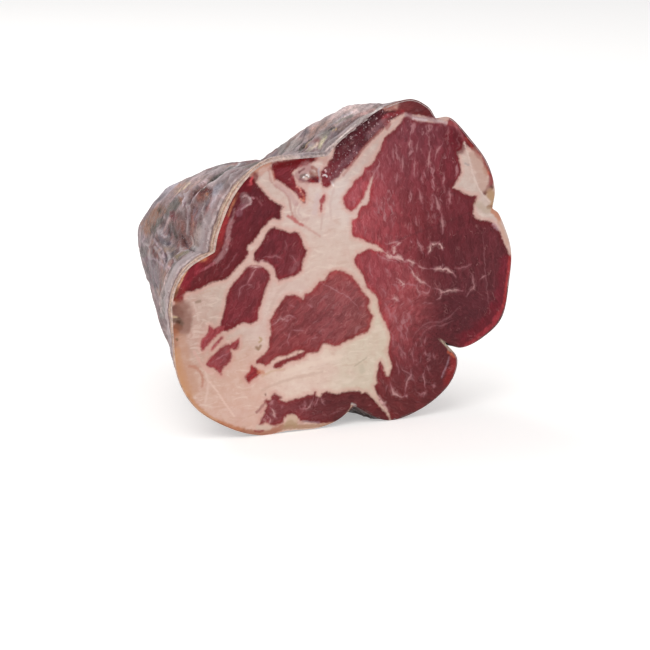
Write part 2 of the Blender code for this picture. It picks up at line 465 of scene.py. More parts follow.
# %% Casing relief
CREASE_LINES = (
    ("fold over the fat", -1.0, 1.0, (181, 238, 184, 243, 188, 247, 193, 250, 201, 251, 209, 251)),
    ("nick in the dent", -0.8, 1.3, (193, 192, 191, 197, 189, 202)),
    ("groove along the dent", -0.8, 1.5, (194, 192, 202, 186, 211, 181, 219, 176, 228, 171)),
    ("slit on the crown", -0.5, 0.9, (300, 150, 306, 145, 313, 140)),
    ("small hole on the crown", -0.5, 0.9, (330, 130, 335, 128)),
)
CREST_LINES = (
    ("crest above the dent", 0.6, 1.3, (185, 199, 188, 194, 193, 189, 201, 184, 210, 177, 220, 170)),
    ("crest below the dent", 0.6, 1.3, (189, 214, 193, 203, 199, 194, 205, 188, 212, 184, 221, 179,
        231, 172)),
    ("left side of the fork", 0.4, 1.1, (184, 202, 187, 206, 189, 213, 188, 224, 187, 234)),
    ("curl beside the nick", 0.5, 1.3, (176, 198, 182, 195, 187, 194, 187, 199, 183, 203)),
    ("left web, upper", 0.5, 1.3, (162, 236, 165, 229, 168, 222, 171, 214, 167, 208)),
    ("left web, middle", 0.5, 1.3, (158, 226, 160, 234, 164, 243, 168, 252, 171, 260, 168, 268)),
    ("left web, lower", 0.5, 1.3, (143, 240, 149, 246, 156, 248, 161, 255, 166, 262)),
    ("edge of the leaf", 0.4, 1.1, (175, 262, 178, 255, 184, 251, 190, 250)),
    ("crown stripe, near", 0.45, 1.1, (322, 152, 330, 143, 340, 134, 352, 125, 364, 117)),
    ("crown stripe, middle", 0.4, 1.1, (296, 150, 305, 145, 318, 138, 330, 131, 345, 122)),
    ("crown stripe, far", 0.35, 1.1, (283, 147, 298, 137, 315, 126, 332, 116, 350, 108)),
    ("outer line on the left", 0.7, 1.3, (177, 262, 172, 270, 168, 278, 165, 289, 163, 296, 162, 304)),
)
LIP = {"behind": 0.55, "half_width": 0.5, "height": 0.3, "direction": 160.0, "spread": 78.0}
FLAP = {"behind": 1.7, "half_width": 1.1, "height": 1.3, "direction": 114.0, "spread": 15.0}
GROOVE = {"behind": 2.6, "half_width": 0.7, "height": -0.35, "direction": 150.0, "spread": 62.0}
ROUNDING = 0.5
ROUNDING_RUN = 0.45
NEAR_RUN = 14.0
FAR_STRETCH = 0.42
LUMP, SMALL_LUMP, HOOP, FOLD, FINE_FOLD, PAD, GRIT = 0.32, 0.16, 0.42, 0.46, 0.14, 0.08, 0.06
UNDER_CUT = 0.15


def band(shape, back, angle):
    """Share of a low wall that runs along the rim: how high it is at each place."""
    along = np.exp(-((back - shape["behind"]) / shape["half_width"]) ** 2)
    return along * np.exp(-(turn_between(angle, shape["direction"]) / shape["spread"]) ** 4)


places = rind.reshape(-1, 3)
angle = np.tile(rim_angle, RINGS)
bent = places.copy()
bent[:, 1] = NEAR_RUN * (1 - np.exp(-back / NEAR_RUN)) + FAR_STRETCH * back
bent += 2.2 * np.stack([noise(places, 9.0, seed) for seed in (11, 12, 13)], 1)
bent += 0.6 * np.stack([noise(places, 2.8, seed) for seed in (14, 15, 16)], 1)
hooped = bent * (0.38, 1.0, 0.38)
border, cell = cells(bent, 5.6, 23)
fine_border, fine_cell = cells(bent, 2.7, 24)
high_fold = 0.35 * ramp(noise(places, 5.0, 28), -0.3, 0.3) + 0.65 * ramp(noise(places, 14.0, 35), -0.4, 0.3)
fold = (1 - ramp(border, 0.0, 0.7)) * high_fold
fine_fold = (1 - ramp(fine_border, 0.0, 0.5)) * ramp(noise(places, 5.0, 27), -0.3, 0.4)
hoops = noise(hooped, 4.6, 25) * np.exp(-back / 40)
settled = ramp(back, 0.3, 3.0)
relief = LUMP * noise(places, 13.0, 21) + SMALL_LUMP * noise(bent, 5.5, 22) + HOOP * hoops
relief += FOLD * fold + FINE_FOLD * fine_fold - PAD * ramp(border, 0.5, 2.0) * ramp(cell, 0.3, 0.7)
relief += GRIT * noise(places, 1.6, 26)
pale = np.maximum(0.72 * fold, 0.26 * fine_fold)
for _, height, half_width, points in CREST_LINES + CREASE_LINES:
    pick, off, close = touched(points, half_width)
    share = close * np.exp(-(off + 0.25 * noise(places[pick], 2.5, 29)) ** 2)
    relief[pick] += height * share
    pale[pick] = np.maximum(pale[pick], 0.95 * share) if height > 0 else pale[pick] * (1 - share)

lip = band(LIP, back, angle)
flap = band(FLAP, back, angle)
groove = band(GROOVE, back, angle)
ridge_share = band(RIDGE, back, angle)
rounding = ROUNDING * np.exp(-back / ROUNDING_RUN)
relief = relief * settled + LIP["height"] * lip + FLAP["height"] * flap + GROOVE["height"] * groove
relief = relief - rounding
tip_fade = ramp(LENGTH - back, 0.5, 8.0)
shaped = places + rind_normal.reshape(-1, 3) * (relief * (0.25 + 0.75 * tip_fade))[:, None]
shaped[:, 1] = np.maximum(shaped[:, 1], CUT_Y + UNDER_CUT)
shaped[:, 2] = np.maximum(shaped[:, 2], 0.0)
print("relief of the casing from", round(relief.min(), 2), "to", round(relief.max(), 2), "mm")

# %% [markdown]
# ## Colours of the casing
# The skin of the casing is a thin grey film over red-brown meat. Where it wrinkled it
# lifted and looks pale and a little blue, where it sticks it shows the meat, and moulds
# left ochre and green-black patches. The colours are worked out at each grid point: soft
# noise picks between the grounds, then the marks that can be told apart are brushed on,
# and last the bands of the lip, each with its run behind the cut and the direction in
# which it begins. Some of this colour is painted light and shade: the casing is made
# darker where it faces left and down and lighter on top, and a few marks are painted
# shade in a fold, in a groove and under the arch.

# %% Casing colours
GREY_FILM = (134, 112, 110)
PALE_CREASE = (190, 174, 175)
MEAT_BELOW = (96, 54, 52)
FLAP_TONE = (190, 170, 167)
# Painted light: the next two factors make the casing darker and redder where it faces left, and lighter and
# bluer where it faces up.
PAINTED_SHADE_LEFT = (0.19, 0.30, 0.31)
PAINTED_LIGHT_TOP = (0.15, 0.23, 0.27)
# Painted shade: this factor darkens the casing where it faces down.
PAINTED_SHADE_BELOW = (0.55, 0.62, 0.66)
LIP_BEGINS = 224
GROUND_TONES = (
    ("pink-brown meat below", 0.50, 10.0, (120, 82, 78)),
    ("pale film", 0.30, 12.0, (160, 141, 139)),
    ("violet grey", 0.26, 8.0, (106, 90, 100)),
    ("dark meat below", 0.20, 6.0, MEAT_BELOW),
    ("ochre", 0.09, 6.5, (142, 106, 82)),
    ("green-black", 0.12, 5.0, (80, 77, 64)),
    ("small pink-brown spots", 0.16, 3.5, (132, 88, 82)),
    ("small pale spots", 0.14, 3.0, (166, 148, 146)),
)
LIP_BANDS = (
    ("beige lip", (196, 166, 146), 0.0, 2.0, 0.80, 110.0),
    ("cream line at the cut", (214, 176, 140), 0.0, 0.35, 0.85, 110.0),
    ("orange streak in the lip", (182, 120, 88), 0.50, 0.80, 0.75, 118.0),
    ("cream streak in the lip", (220, 194, 168), 0.95, 1.40, 0.80, 118.0),
    ("brown thread", (150, 108, 92), 1.50, 1.70, 0.70, 118.0),
    # Painted shade: this dark band lies in the groove behind the lip.
    ("painted shade in the groove", (104, 68, 62), 2.0, 2.45, 0.80, 118.0),
    ("pale outer line", (204, 184, 182), 2.5, 3.05, 0.90, 118.0),
    ("pale edge of the crown", (196, 176, 170), 0.0, 0.45, 0.75, 40.0),
)
CASING_MARKS = (
    ("smooth film on the cheek", (170, 146, 143), 10.0, 0.7, (154, 209, 162, 200, 172, 190, 184, 181,
        198, 176)),
    ("bluish edge of the film", (172, 164, 172), 4.0, 0.7, (147, 218, 153, 207, 163, 195, 176, 185)),
    ("tan in the film", (182, 154, 134), 2.6, 0.7, (176, 192, 182, 187, 188, 183)),
    ("grey-lilac on the far left", (156, 144, 150), 5.0, 0.7, (144, 226, 142, 236, 143, 247)),
    ("brown-pink middle of the cheek", (134, 98, 93), 7.0, 0.8, (176, 218, 180, 228, 182, 238)),
    ("mauve beside the lip", (142, 114, 114), 4.0, 0.7, (218, 196, 214, 206, 208, 222, 205, 236)),
    ("brown-red patch under the dent", (98, 46, 42), 4.2, 0.95, (201, 193, 206, 190, 210, 191)),
    ("orange dot in it", (176, 112, 72), 1.0, 0.9, (206, 193, 207, 194)),
    ("orange-brown below it", (150, 98, 84), 3.0, 0.85, (199, 199, 204, 197)),
    ("blue-white bloom, upper", (186, 184, 194), 3.0, 0.9, (221, 187, 217, 189, 214, 194)),
    ("blue-white bloom, lower", (176, 168, 176), 1.6, 0.85, (218, 194, 214, 200, 210, 206, 208, 210)),
    ("grey-white fan above the fold", (170, 160, 154), 5.0, 0.8, (195, 246, 198, 238, 200, 230)),
    ("grey-green patch", (100, 97, 88), 4.8, 0.9, (169, 213, 173, 206, 177, 202)),
    ("ochre spot", (140, 94, 66), 2.0, 0.9, (180, 199, 182, 202)),
    ("large ochre patch", (142, 104, 78), 6.4, 0.9, (148, 229, 151, 221, 156, 214, 160, 211)),
    ("orange in the ochre", (168, 126, 94), 1.4, 0.8, (149, 226, 150, 232)),
    ("green-black in the ochre", (80, 75, 62), 4.0, 0.95, (155, 230, 158, 224, 162, 221)),
    ("dark spot above it", (84, 66, 42), 1.6, 0.9, (160, 210, 161, 213)),
    ("brown-black below it", (92, 72, 74), 1.6, 0.9, (152, 232, 155, 238, 157, 243)),
    ("second line beside it", (98, 78, 82), 1.2, 0.8, (158, 231, 159, 238)),
    ("red spot, upper left", (126, 70, 74), 2.6, 0.9, (172, 213, 174, 219)),
    ("dark net, left", (108, 82, 86), 4.0, 0.8, (166, 224, 168, 232)),
    ("red-brown under the lip", (126, 76, 72), 2.8, 0.85, (207, 208, 212, 213, 216, 212)),
    ("red-brown, far left", (118, 72, 68), 3.6, 0.9, (152, 249, 155, 253, 158, 257)),
    ("green-grey, far left", (100, 98, 94), 2.8, 0.8, (143, 249, 144, 255)),
    ("violet grey, left", (92, 78, 92), 2.8, 0.9, (161, 239, 165, 243, 169, 244)),
    ("mauve grey low on the left", (134, 114, 120), 9.0, 0.5, (150, 292, 156, 306, 162, 320)),
    ("violet grey, lower", (110, 94, 104), 7.0, 0.8, (150, 262, 154, 272, 157, 282)),
    ("dark spots in it", (98, 80, 88), 1.8, 0.8, (152, 275, 154, 281, 155, 286)),
    ("dark line in it", (106, 90, 92), 1.5, 0.8, (152, 259, 157, 264, 159, 272, 159, 280)),
    ("violet line", (92, 66, 82), 1.4, 0.9, (164, 252, 166, 258, 168, 264)),
    ("olive leaf under the fold", (142, 127, 98), 2.0, 0.9, (177, 258, 182, 255, 188, 252)),
    ("brown shadow of the leaf", (118, 86, 74), 0.9, 0.8, (177, 260.5, 181, 259, 185, 256)),
    ("tan beside the leaf", (164, 138, 116), 3.0, 0.8, (166, 250, 172, 249)),
    ("tan lines under it", (174, 148, 138), 0.9, 0.8, (170, 267, 172, 262, 174, 257, 175, 253)),
    ("dark line between them", (112, 78, 72), 0.9, 0.85, (174, 260, 172, 266, 169, 272)),
    ("tan low on the left", (146, 118, 104), 3.0, 0.8, (164, 272, 163, 282, 162, 294)),
    ("dark brown low on the left", (122, 86, 76), 1.2, 0.8, (161, 285, 161, 292, 162, 300)),
    ("grey band low on the left", (148, 143, 140), 3.6, 0.9, (176, 266, 172, 275, 168, 288, 165, 302,
        163, 316)),
    ("mauve line in the band", (150, 116, 116), 0.8, 0.7, (178, 271, 176, 279)),
    ("brown streak, inner", (132, 92, 83), 1.2, 0.85, (192, 203, 192, 212, 191, 222, 191, 235)),
    ("brown streak, middle", (140, 98, 90), 1.6, 0.8, (180, 222, 182, 232, 183, 240)),
    ("olive streak", (98, 86, 74), 1.1, 0.8, (174, 231, 176, 237)),
    ("grey streak", (126, 114, 112), 1.8, 0.8, (204, 221, 203, 228)),
    ("brown streak beside the lip", (128, 96, 92), 1.3, 0.8, (205, 232, 207, 240, 206, 246)),
    ("dark nick", (80, 30, 40), 1.5, 1.0, (194, 192, 193, 196, 191, 200, 189, 203)),
    ("dark line left of it", (98, 62, 76), 1.0, 0.9, (186, 202, 185, 206)),
    ("green-black along the dent", (64, 66, 58), 1.5, 1.0, (222, 174, 217, 177, 211, 181, 208, 183)),
    ("end of the green-black", (96, 94, 88), 1.6, 0.85, (222, 174, 227, 171, 231, 168.5)),
    ("dark end of the dent", (74, 66, 60), 1.3, 0.9, (207, 186, 203, 190, 200, 192)),
    ("crest of the dent", (196, 184, 181), 0.9, 0.9, (240, 164, 233, 169, 228, 173, 221, 178, 213, 183,
        208, 185, 203, 188, 199, 191)),
    ("crest below the nick", (190, 172, 178), 0.9, 0.9, (199, 191, 197, 195, 194, 199, 191, 203, 189, 207,
        188, 212, 189, 220)),
    ("crest above the dent", (190, 168, 168), 0.9, 0.85, (216, 173, 212, 176, 206, 181, 201, 184,
        196, 187, 191, 190)),
    ("curl beside the nick", (184, 178, 184), 1.1, 0.85, (179, 196, 183, 195, 187, 196, 186, 199, 184, 203,
        182, 206)),
    ("cream streak on the film", (204, 188, 160), 0.9, 0.8, (178, 191, 182, 190, 186, 187, 190, 184)),
    ("orange-pink streak on the film", (194, 150, 132), 1.0, 0.75, (176, 187, 181, 185, 185, 184)),
    ("brown streak on the film", (138, 110, 98), 1.0, 0.8, (183, 193.5, 188, 191, 193, 188.5)),
    ("pale web, upper", (180, 160, 158), 0.9, 0.85, (171, 217, 170, 220, 167, 226, 165, 231)),
    ("pale web, middle", (178, 174, 180), 1.0, 0.85, (163, 228, 161, 233, 165, 237, 169, 236)),
    ("pale web, lower", (186, 172, 178), 1.0, 0.9, (155, 240, 158, 246, 163, 250, 164, 257, 166, 264,
        170, 269)),
    ("pale arc, lower left", (176, 164, 174), 1.0, 0.85, (149, 258, 157, 260, 162, 264, 165, 269)),
    ("pale line in the middle", (186, 166, 170), 0.8, 0.8, (188, 205, 189, 212, 190, 219)),
    ("bloom line beside the lip", (190, 180, 180), 0.9, 0.85, (204, 203, 202, 210, 203, 217, 206, 224)),
    ("pale fan line", (178, 168, 164), 0.8, 0.8, (191, 238, 193, 245, 197, 249)),
    ("second fan line", (174, 162, 158), 0.8, 0.7, (200, 226, 199, 236, 201, 246)),
    # Painted shade: a dark line in the crease where the casing bulges over the fold, thinning out towards its
    # end.
    ("painted shade in the fold", (72, 40, 46), 1.2, 1.0, (181, 235, 184, 241, 187, 246, 189, 249, 193, 250.5)),
    ("thin end of the painted shade in the fold", (118, 98, 94), 0.8, 0.85, (193, 250.5, 200, 251.5, 208, 250.5)),
    ("outer line of the lip, low", (206, 191, 189), 0.9, 0.9, (173, 266, 169, 275, 167, 281, 165, 288,
        163, 295, 162, 303, 161, 312)),
    ("pale line behind the lip", (202, 182, 178), 0.8, 0.8, (228, 191, 226, 195, 222, 203, 220, 210,
        218, 218, 215, 225, 213, 232, 211, 240, 211, 247)),
    ("brown-pink top of the crown", (186, 160, 154), 9.0, 0.8, (290, 142, 308, 132, 326, 123, 346, 113,
        366, 108)),
    ("orange-pink on the crown", (182, 146, 132), 2.6, 0.8, (310, 137, 314, 131, 322, 126, 330, 122)),
    ("violet spot on the crown", (122, 106, 112), 2.4, 0.85, (302, 136, 308, 132)),
    ("grey-green on the crown", (132, 126, 120), 6.0, 0.8, (282, 149, 290, 146, 296, 143)),
    ("brown stripe on the grey", (150, 124, 114), 1.5, 0.8, (286, 149, 292, 141, 300, 136)),
    ("pale stripe on the grey", (186, 176, 173), 0.8, 0.8, (292, 143, 298, 139, 303, 134)),
    ("slit on the crown", (70, 56, 44), 1.1, 1.0, (298, 151, 303, 147, 308, 143, 314, 138)),
    ("gold under the slit", (200, 168, 118), 0.7, 0.9, (306, 147, 311, 143, 312, 141)),
    ("cream under the slit", (204, 186, 166), 1.3, 0.8, (308, 150.5, 315, 147, 318, 143)),
    ("yellow-green on the crown", (188, 184, 152), 2.2, 0.8, (320, 147, 322, 142, 325, 138)),
    ("grey-green beside the hole", (148, 146, 134), 2.6, 0.8, (322, 137, 327, 132)),
    ("small hole on the crown", (64, 58, 48), 1.2, 1.0, (330, 130, 335, 127)),
    ("gold under the hole", (212, 178, 122), 0.6, 0.9, (332, 130.8, 337, 129)),
    ("brown beside the hole", (150, 124, 114), 1.6, 0.8, (338, 130.5, 345, 127)),
    ("green line on the crown", (118, 116, 104), 1.0, 0.8, (337, 122.5, 345, 119, 352, 116)),
    ("pale line above it", (182, 167, 168), 1.0, 0.8, (330, 126, 338, 120, 346, 116, 352, 113)),
    ("pink on the crown", (186, 142, 134), 1.7, 0.8, (353, 119, 358, 116, 365, 113, 375, 109)),
    ("grey line beside the crest", (148, 138, 132), 0.9, 0.8, (322, 152, 327, 147, 333, 141, 338, 137)),
    ("pale line beside the crest", (206, 190, 182), 1.2, 0.9, (326, 151, 331, 146.5, 337, 141, 343, 135,
        350, 129, 358, 123, 366, 116, 374, 112, 382, 107.5)),
    ("brown-black along the crest", (92, 74, 68), 0.9, 0.85, (345, 135.5, 352, 131, 360, 125.5, 368, 119,
        376, 113.5, 383, 110)),
    ("salmon corner", (206, 160, 142), 1.1, 0.8, (333, 156, 335, 149, 338, 143)),
    # Painted shadow: a near-black patch on the casing under the arch between belly and heel.
    ("painted shadow in the arch below", (46, 30, 27), 6.0, 0.92, (352, 410, 360, 416, 370, 420, 382, 423)),
)

casing_tone = np.tile(paint(GREY_FILM), (len(places), 1))
for index, (_, part, size, tone) in enumerate(GROUND_TONES):
    field = noise(bent * (1.0, 1.35, 1.0), size, 70 + index)
    covered = ramp(field, *np.quantile(field, (1 - part, 1 - 0.35 * part)))
    casing_tone = brush(casing_tone, 0.8 * covered, tone)
ragged_large = noise(bent, 2.4, 45)
ragged_small = noise(bent, 1.0, 46)
for _, tone, half_width, strength, points in CASING_MARKS:
    pick, off, close = touched(points, half_width)
    off = off + 0.32 * ragged_large[pick] + 0.22 * ragged_small[pick]
    share = strength * close * (1 - ramp(off, 0.45, 1.35))
    casing_tone[pick] = brush(casing_tone[pick], share, tone)
    pale[pick] *= 1 - 0.9 * share

weave = 1 + 0.66 * noise(hooped, 3.2, 32) + 0.42 * noise(hooped, 1.6, 36)
weave += 0.24 * (fine_cell - 0.5) * ramp(fine_border, 0.0, 0.7) + 0.34 * (cell - 0.5) * ramp(border, 0.1, 1.2)
casing_tone *= np.clip(weave, 0.35, 1.8)[:, None]
# Painted light: casing that faces left is made darker and a little redder, and casing that faces up lighter
# and a little bluer.
cheek_side = ramp(-rind_normal.reshape(-1, 3)[:, :1], 0.2, 0.8)
upper_side = ramp(rind_normal.reshape(-1, 3)[:, 2:], 0.4, 0.9)
under_side = ramp(-rind_normal.reshape(-1, 3)[:, 2:], 0.2, 0.7)
casing_tone *= 1 - cheek_side * PAINTED_SHADE_LEFT + upper_side * PAINTED_LIGHT_TOP
# Painted shade: casing that faces down is made much darker, and its pale creases fade.
casing_tone *= 1 - under_side * PAINTED_SHADE_BELOW
pale *= 1 - 0.8 * under_side[:, 0]

lip_end = ramp(LIP_BEGINS - angle, 0.0, 14.0)
lip_back = back + 0.35 * noise(places, 3.0, 34) * ramp(back, 0.2, 1.2)
streaky = 0.55 + 0.45 * ramp(noise(hooped * (1.0, 2.4, 1.0), 1.2, 33), -0.5, 0.3)
for _, tone, low, high, strength, begins in LIP_BANDS:
    share = strength * lip_end * ramp(angle, begins, begins + 10)
    share = share * ramp(lip_back, low - 0.15, low + 0.08) * (1 - ramp(lip_back, high - 0.1, high + 0.18))
    if high > 0.5:
        share = share * streaky
    casing_tone = brush(casing_tone, share, tone)
    pale *= 1 - share
casing_tone = brush(casing_tone, 0.8 * flap, FLAP_TONE)
pale = np.maximum(pale, 0.85 * ridge_share * (0.7 + 0.3 * streaky))
print("mean colour of the casing, linear:", casing_tone.mean(0).round(3))

# %% [markdown]
# ## The casing as a mesh
# The grid becomes quads, closed around and drawn together in one point at the rounded
# end. One more ring turns in behind the cut, so that no gap shows where the casing
# meets the meat. Colour and crease strength travel with the mesh as attributes.

# %% Casing mesh
TUCK = 0.9


def mesh_piece(name, places, faces):
    """Object from places in mm and faces, smooth shaded."""
    data = bpy.data.meshes.new(name)
    data.from_pydata((places * MM).tolist(), [], faces)
    data.shade_smooth()
    data.update()
    piece = bpy.data.objects.new(name, data)
    bpy.context.scene.collection.objects.link(piece)
    return piece


def carry(piece, name, values, kind="FLOAT"):
    """Store one value for each point of the mesh."""
    slot = piece.data.attributes.new(name, kind, "POINT")
    if kind == "FLOAT_COLOR":
        values = np.concatenate([values, np.ones((len(values), 1))], 1)
    field = {"FLOAT": "value", "FLOAT_COLOR": "color", "FLOAT_VECTOR": "vector"}[kind]
    slot.data.foreach_set(field, np.ascontiguousarray(values, np.float32).ravel())


columns = len(rim)
tuck = shaped[:columns].copy()
tuck[:, 1] += 0.5
inward = tuck[:, (0, 2)] - (MIDDLE + (SHIFT_X, 0))
inward /= np.linalg.norm(inward, axis=1)[:, None]
tuck[:, 0] -= TUCK * inward[:, 0]
tuck[:, 2] = np.maximum(tuck[:, 2] - TUCK * inward[:, 1], 0.02)
last = shaped[-columns:]
tip = last.mean(axis=0)
tip[1] = CUT_Y + LENGTH
rind_places = np.concatenate([tuck, shaped, tip[None]])
rind_faces = []
for ring in range(RINGS):
    start = ring * columns
    for j in range(columns):
        k = (j + 1) % columns
        rind_faces.append((start + j, start + k, start + columns + k, start + columns + j))
end = len(rind_places) - 1
for j in range(columns):
    rind_faces.append((RINGS * columns + j, RINGS * columns + (j + 1) % columns, end))
casing = mesh_piece("casing", rind_places, rind_faces)
casing_tone = np.concatenate([casing_tone[:columns], casing_tone, casing_tone[-1:]])
pale = np.concatenate([pale[:columns], pale, pale[-1:]])
carry(casing, "tone", casing_tone, "FLOAT_COLOR")
carry(casing, "pale", pale)
print("casing:", len(rind_faces) * 2, "triangles at most")

# %% [markdown]
# ## The muscles in the cut
# A cut across the neck goes through several muscles. Each is a closed outline, read off
# the picture in its own points and laid on the plane of the cut. Where a muscle runs
# out to the casing, its outline goes a little past the rim, so no fat shows there. Each
# has a few named tones, because dried lean is darkest where it dried most, and a
# direction in which its fibres run.

# %% Muscle outlines
MUSCLES = {
    "cheek": ((253, 178, 256, 183, 262, 190, 270, 199, 278, 204, 283, 207, 280, 211, 281, 217, 279, 220,
        273, 218, 270, 220, 266, 225, 262, 228, 258, 235, 253, 242, 248, 245, 247, 250, 248, 254, 244, 260,
        238, 266, 232, 273, 226, 279, 217, 281, 208, 284, 201, 288, 193, 291, 185, 292, 183, 297, 181, 301,
        176, 302, 172, 300, 165, 300, 170, 287, 177, 277, 184, 264, 192, 255, 201, 249, 208, 247, 210, 243,
        212, 236, 215, 228, 218, 220, 223, 209, 228, 200, 233, 191, 239, 184, 248, 177), 60.0),
    "bridge": ((272, 164, 280, 162.3, 289.5, 160.7, 297, 159.3, 303, 157.5, 309, 155.7, 315, 154.3,
        318.5, 156.5, 314, 161, 308.5, 164, 302.5, 166.5, 297, 168, 293, 171.5, 292.5, 173, 294, 177,
        295, 180, 297, 185, 301, 188, 304.5, 190, 306, 196, 304.5, 203, 302, 202, 300, 199, 297.5, 196,
        295, 193, 292, 190, 289, 188, 285, 185, 281.5, 182.5, 277.5, 180.5, 274, 178, 273, 172), 20.0),
    "bridge end": ((307, 180, 311, 177, 318, 176, 320, 179, 318, 183, 313, 183, 308, 182), 20.0),
    "small bit": ((324, 194.5, 325.5, 197, 324.5, 201, 323, 204, 321.5, 208, 321, 212.5, 320, 209, 320, 204,
        319.3, 201, 321, 198), 80.0),
    "crest": ((321, 170.5, 326, 166, 327.7, 161.5, 332, 157.7, 334, 151, 335.5, 146.5, 337.5, 141.5,
        343, 136.5, 350, 131, 358, 124.5, 367, 116.5, 375, 111, 383, 108.5, 390, 110, 396, 110, 403, 109,
        403, 112, 399, 115, 393, 119, 388, 123, 383, 129, 378, 134, 373, 139, 367, 145, 362, 150, 358, 156,
        354, 161, 350, 166, 345, 169, 342, 170.5, 338, 177, 333, 179, 331, 183, 327.5, 187, 322.5, 186,
        320, 177), 45.0),
    "crown": ((383, 106, 395, 99, 405, 95, 412, 95, 421, 98, 431, 104, 438, 112, 440, 118, 431, 118,
        424, 116, 418, 115, 410, 115, 406, 113, 395, 112), 10.0),
    "eye": ((408, 116, 413, 119, 420, 121, 430, 122, 440, 122.5, 446, 122, 451, 118, 456, 110, 470, 124,
        485, 144, 498, 170, 506, 190, 512, 215, 519, 240, 521, 268, 518, 290, 514, 308, 506, 324, 490, 337,
        470, 350, 463, 352, 464, 362, 463, 372, 458, 384, 448, 395, 434, 405, 420, 414, 404, 421, 392, 422,
        389, 413, 385, 408, 380, 403, 378, 398, 376, 392, 374, 386, 377, 383, 376, 378, 377, 372, 378, 366,
        380, 361, 382, 364, 384, 370, 386, 376, 389, 376, 390, 371, 392, 367, 390, 360, 388, 352, 389, 345,
        390, 338, 389, 332, 386, 325, 382, 317, 379, 310, 378, 304, 378, 300, 375, 295, 371, 291, 367, 288,
        365, 283, 363, 276, 360, 271, 356, 266, 354, 261, 355, 257, 358, 253, 357, 246, 354, 240, 352, 233,
        352, 226, 352, 220, 357, 218, 358, 214, 355, 211, 351, 211, 347, 209, 344, 205, 343, 200, 343, 197,
        346, 193, 349, 189, 352, 185, 354, 181, 358, 178, 361, 176, 363, 173, 365, 168, 369, 166, 373, 162,
        376, 156, 379, 151, 381, 147, 384, 138, 390, 133, 396, 128, 401, 122, 404, 117), 96.0),
    "bottom": ((258.5, 424.5, 260, 423, 261, 420, 261, 417.5, 263, 416, 264.5, 413, 264, 411, 265.5, 408,
        267, 405.5, 266.5, 403.5, 264.5, 402.5, 264.3, 400.5, 266, 399, 268, 400, 270.5, 399.5, 271, 397,
        272.5, 395, 274.5, 393.3, 277, 395, 280, 396, 281.5, 398, 280, 399.5, 283, 401, 287, 401.5,
        290, 400, 296, 398.5, 302, 397.3, 307, 395, 312, 395, 313.5, 394, 314.2, 391.6, 315.7, 392.5,
        316, 395, 318, 397, 320, 397, 321.5, 394, 324, 392.5, 327, 391.5, 331, 393, 337, 394, 343, 392,
        350, 391, 358, 391, 362, 393, 365, 392, 370, 396, 375, 401, 380, 407, 386, 413, 390, 422, 375, 422,
        363, 418, 357, 413, 351, 416, 346, 419.5, 338, 422, 330, 423, 322, 423.5, 316, 423, 310, 422,
        304, 421, 300, 420.5, 299, 418.5, 297.5, 419, 297, 416.5, 294, 415, 290, 414.5, 287, 416,
        284, 418.5, 283, 421.5, 280, 424, 275, 425.5, 270, 425.5, 268, 423.5, 265, 422.5, 262, 424.5), 8.0),
    "middle": ((270, 324, 270, 320, 272, 317, 274, 313, 275, 310, 278, 307, 280, 303, 283, 299, 285, 296,
        289, 295, 295, 295, 300, 297, 303, 299, 304, 295, 306, 293.5, 311, 292, 314, 288, 318, 283,
        320, 281, 325, 280, 327, 276, 330, 272, 336, 270, 343, 271, 349, 274, 354, 279, 359, 285, 362, 291,
        368, 297, 370, 302, 368, 306, 370, 311, 373, 316, 371, 322, 370, 327, 367, 332, 362, 334, 357, 336,
        352, 339, 346, 341, 341, 344, 337, 346, 332, 346, 328, 344, 323, 344, 321, 347, 319, 351, 313, 353,
        308, 353, 304, 357, 300, 359, 293, 361, 288, 362, 284, 365, 279, 368, 275, 368, 273, 366, 277, 362,
        282, 360, 288, 358, 295, 355, 300, 353, 304, 351, 301, 350, 296, 351, 290, 354, 284, 356, 277, 357,
        273, 360, 269, 364, 266, 366, 262, 364, 257, 364, 256, 361, 259, 358, 264, 354, 268, 349, 269, 343,
        269, 338, 270, 336, 271, 331, 270, 328), 40.0),
    "square": ((270, 229, 274, 227, 279, 229, 285, 231, 290, 233, 293, 232, 297, 232, 300, 235, 302, 240,
        303, 245, 307, 250, 307, 252, 305, 256, 303, 261, 302, 267, 301, 271, 297, 274, 293, 276, 288, 278,
        283, 279, 279, 281, 276, 277, 275, 273, 273, 268, 269, 264, 265, 262, 259, 263, 256, 262, 254, 260,
        254, 253, 256, 250, 260, 245, 263, 240, 266, 234), 65.0),
    "strip": ((248, 266, 245, 269, 241, 275, 236, 280, 231, 286, 228, 292, 226, 298, 225, 305, 224, 311,
        222, 318, 220, 324, 224, 331, 230, 330, 234, 328, 238, 325, 242, 323, 246, 323, 250, 324, 256, 321,
        258.5, 318, 258, 312, 260, 306, 262, 300, 264, 294, 266, 288, 269, 282, 270, 277, 269, 272,
        266, 269, 262, 266, 259, 265), 60.0),
    "tail": ((225, 322, 219, 326, 214, 328.5, 209.5, 325.5, 208, 331, 205.5, 336, 202, 339, 200.5, 346,
        202.5, 351, 205.5, 347.5, 210.5, 342, 216, 336.5, 221, 332, 227, 328.5, 229, 324), 60.0),
    "tail, second": ((211, 349, 214, 344, 219, 339, 222, 336, 223, 338, 219, 343, 215, 347,
        212, 350), 50.0),
    "island": ((206, 364, 208, 360, 213, 355, 217, 351, 222, 347, 226, 344, 230, 345, 232, 342, 236, 341,
        239, 338, 239, 343, 238, 348, 234, 350, 231, 349, 230, 351, 232, 354, 231, 360, 228, 364, 224, 367,
        222, 371, 221, 375, 218, 372, 213, 368, 208, 367), 45.0),
    "islet": ((245, 376, 249, 372, 250, 368, 251, 365.5, 254, 366.5, 258, 370, 261, 371.5, 260, 374,
        255, 377.5, 252, 380, 249, 383, 246, 380), 15.0),
}
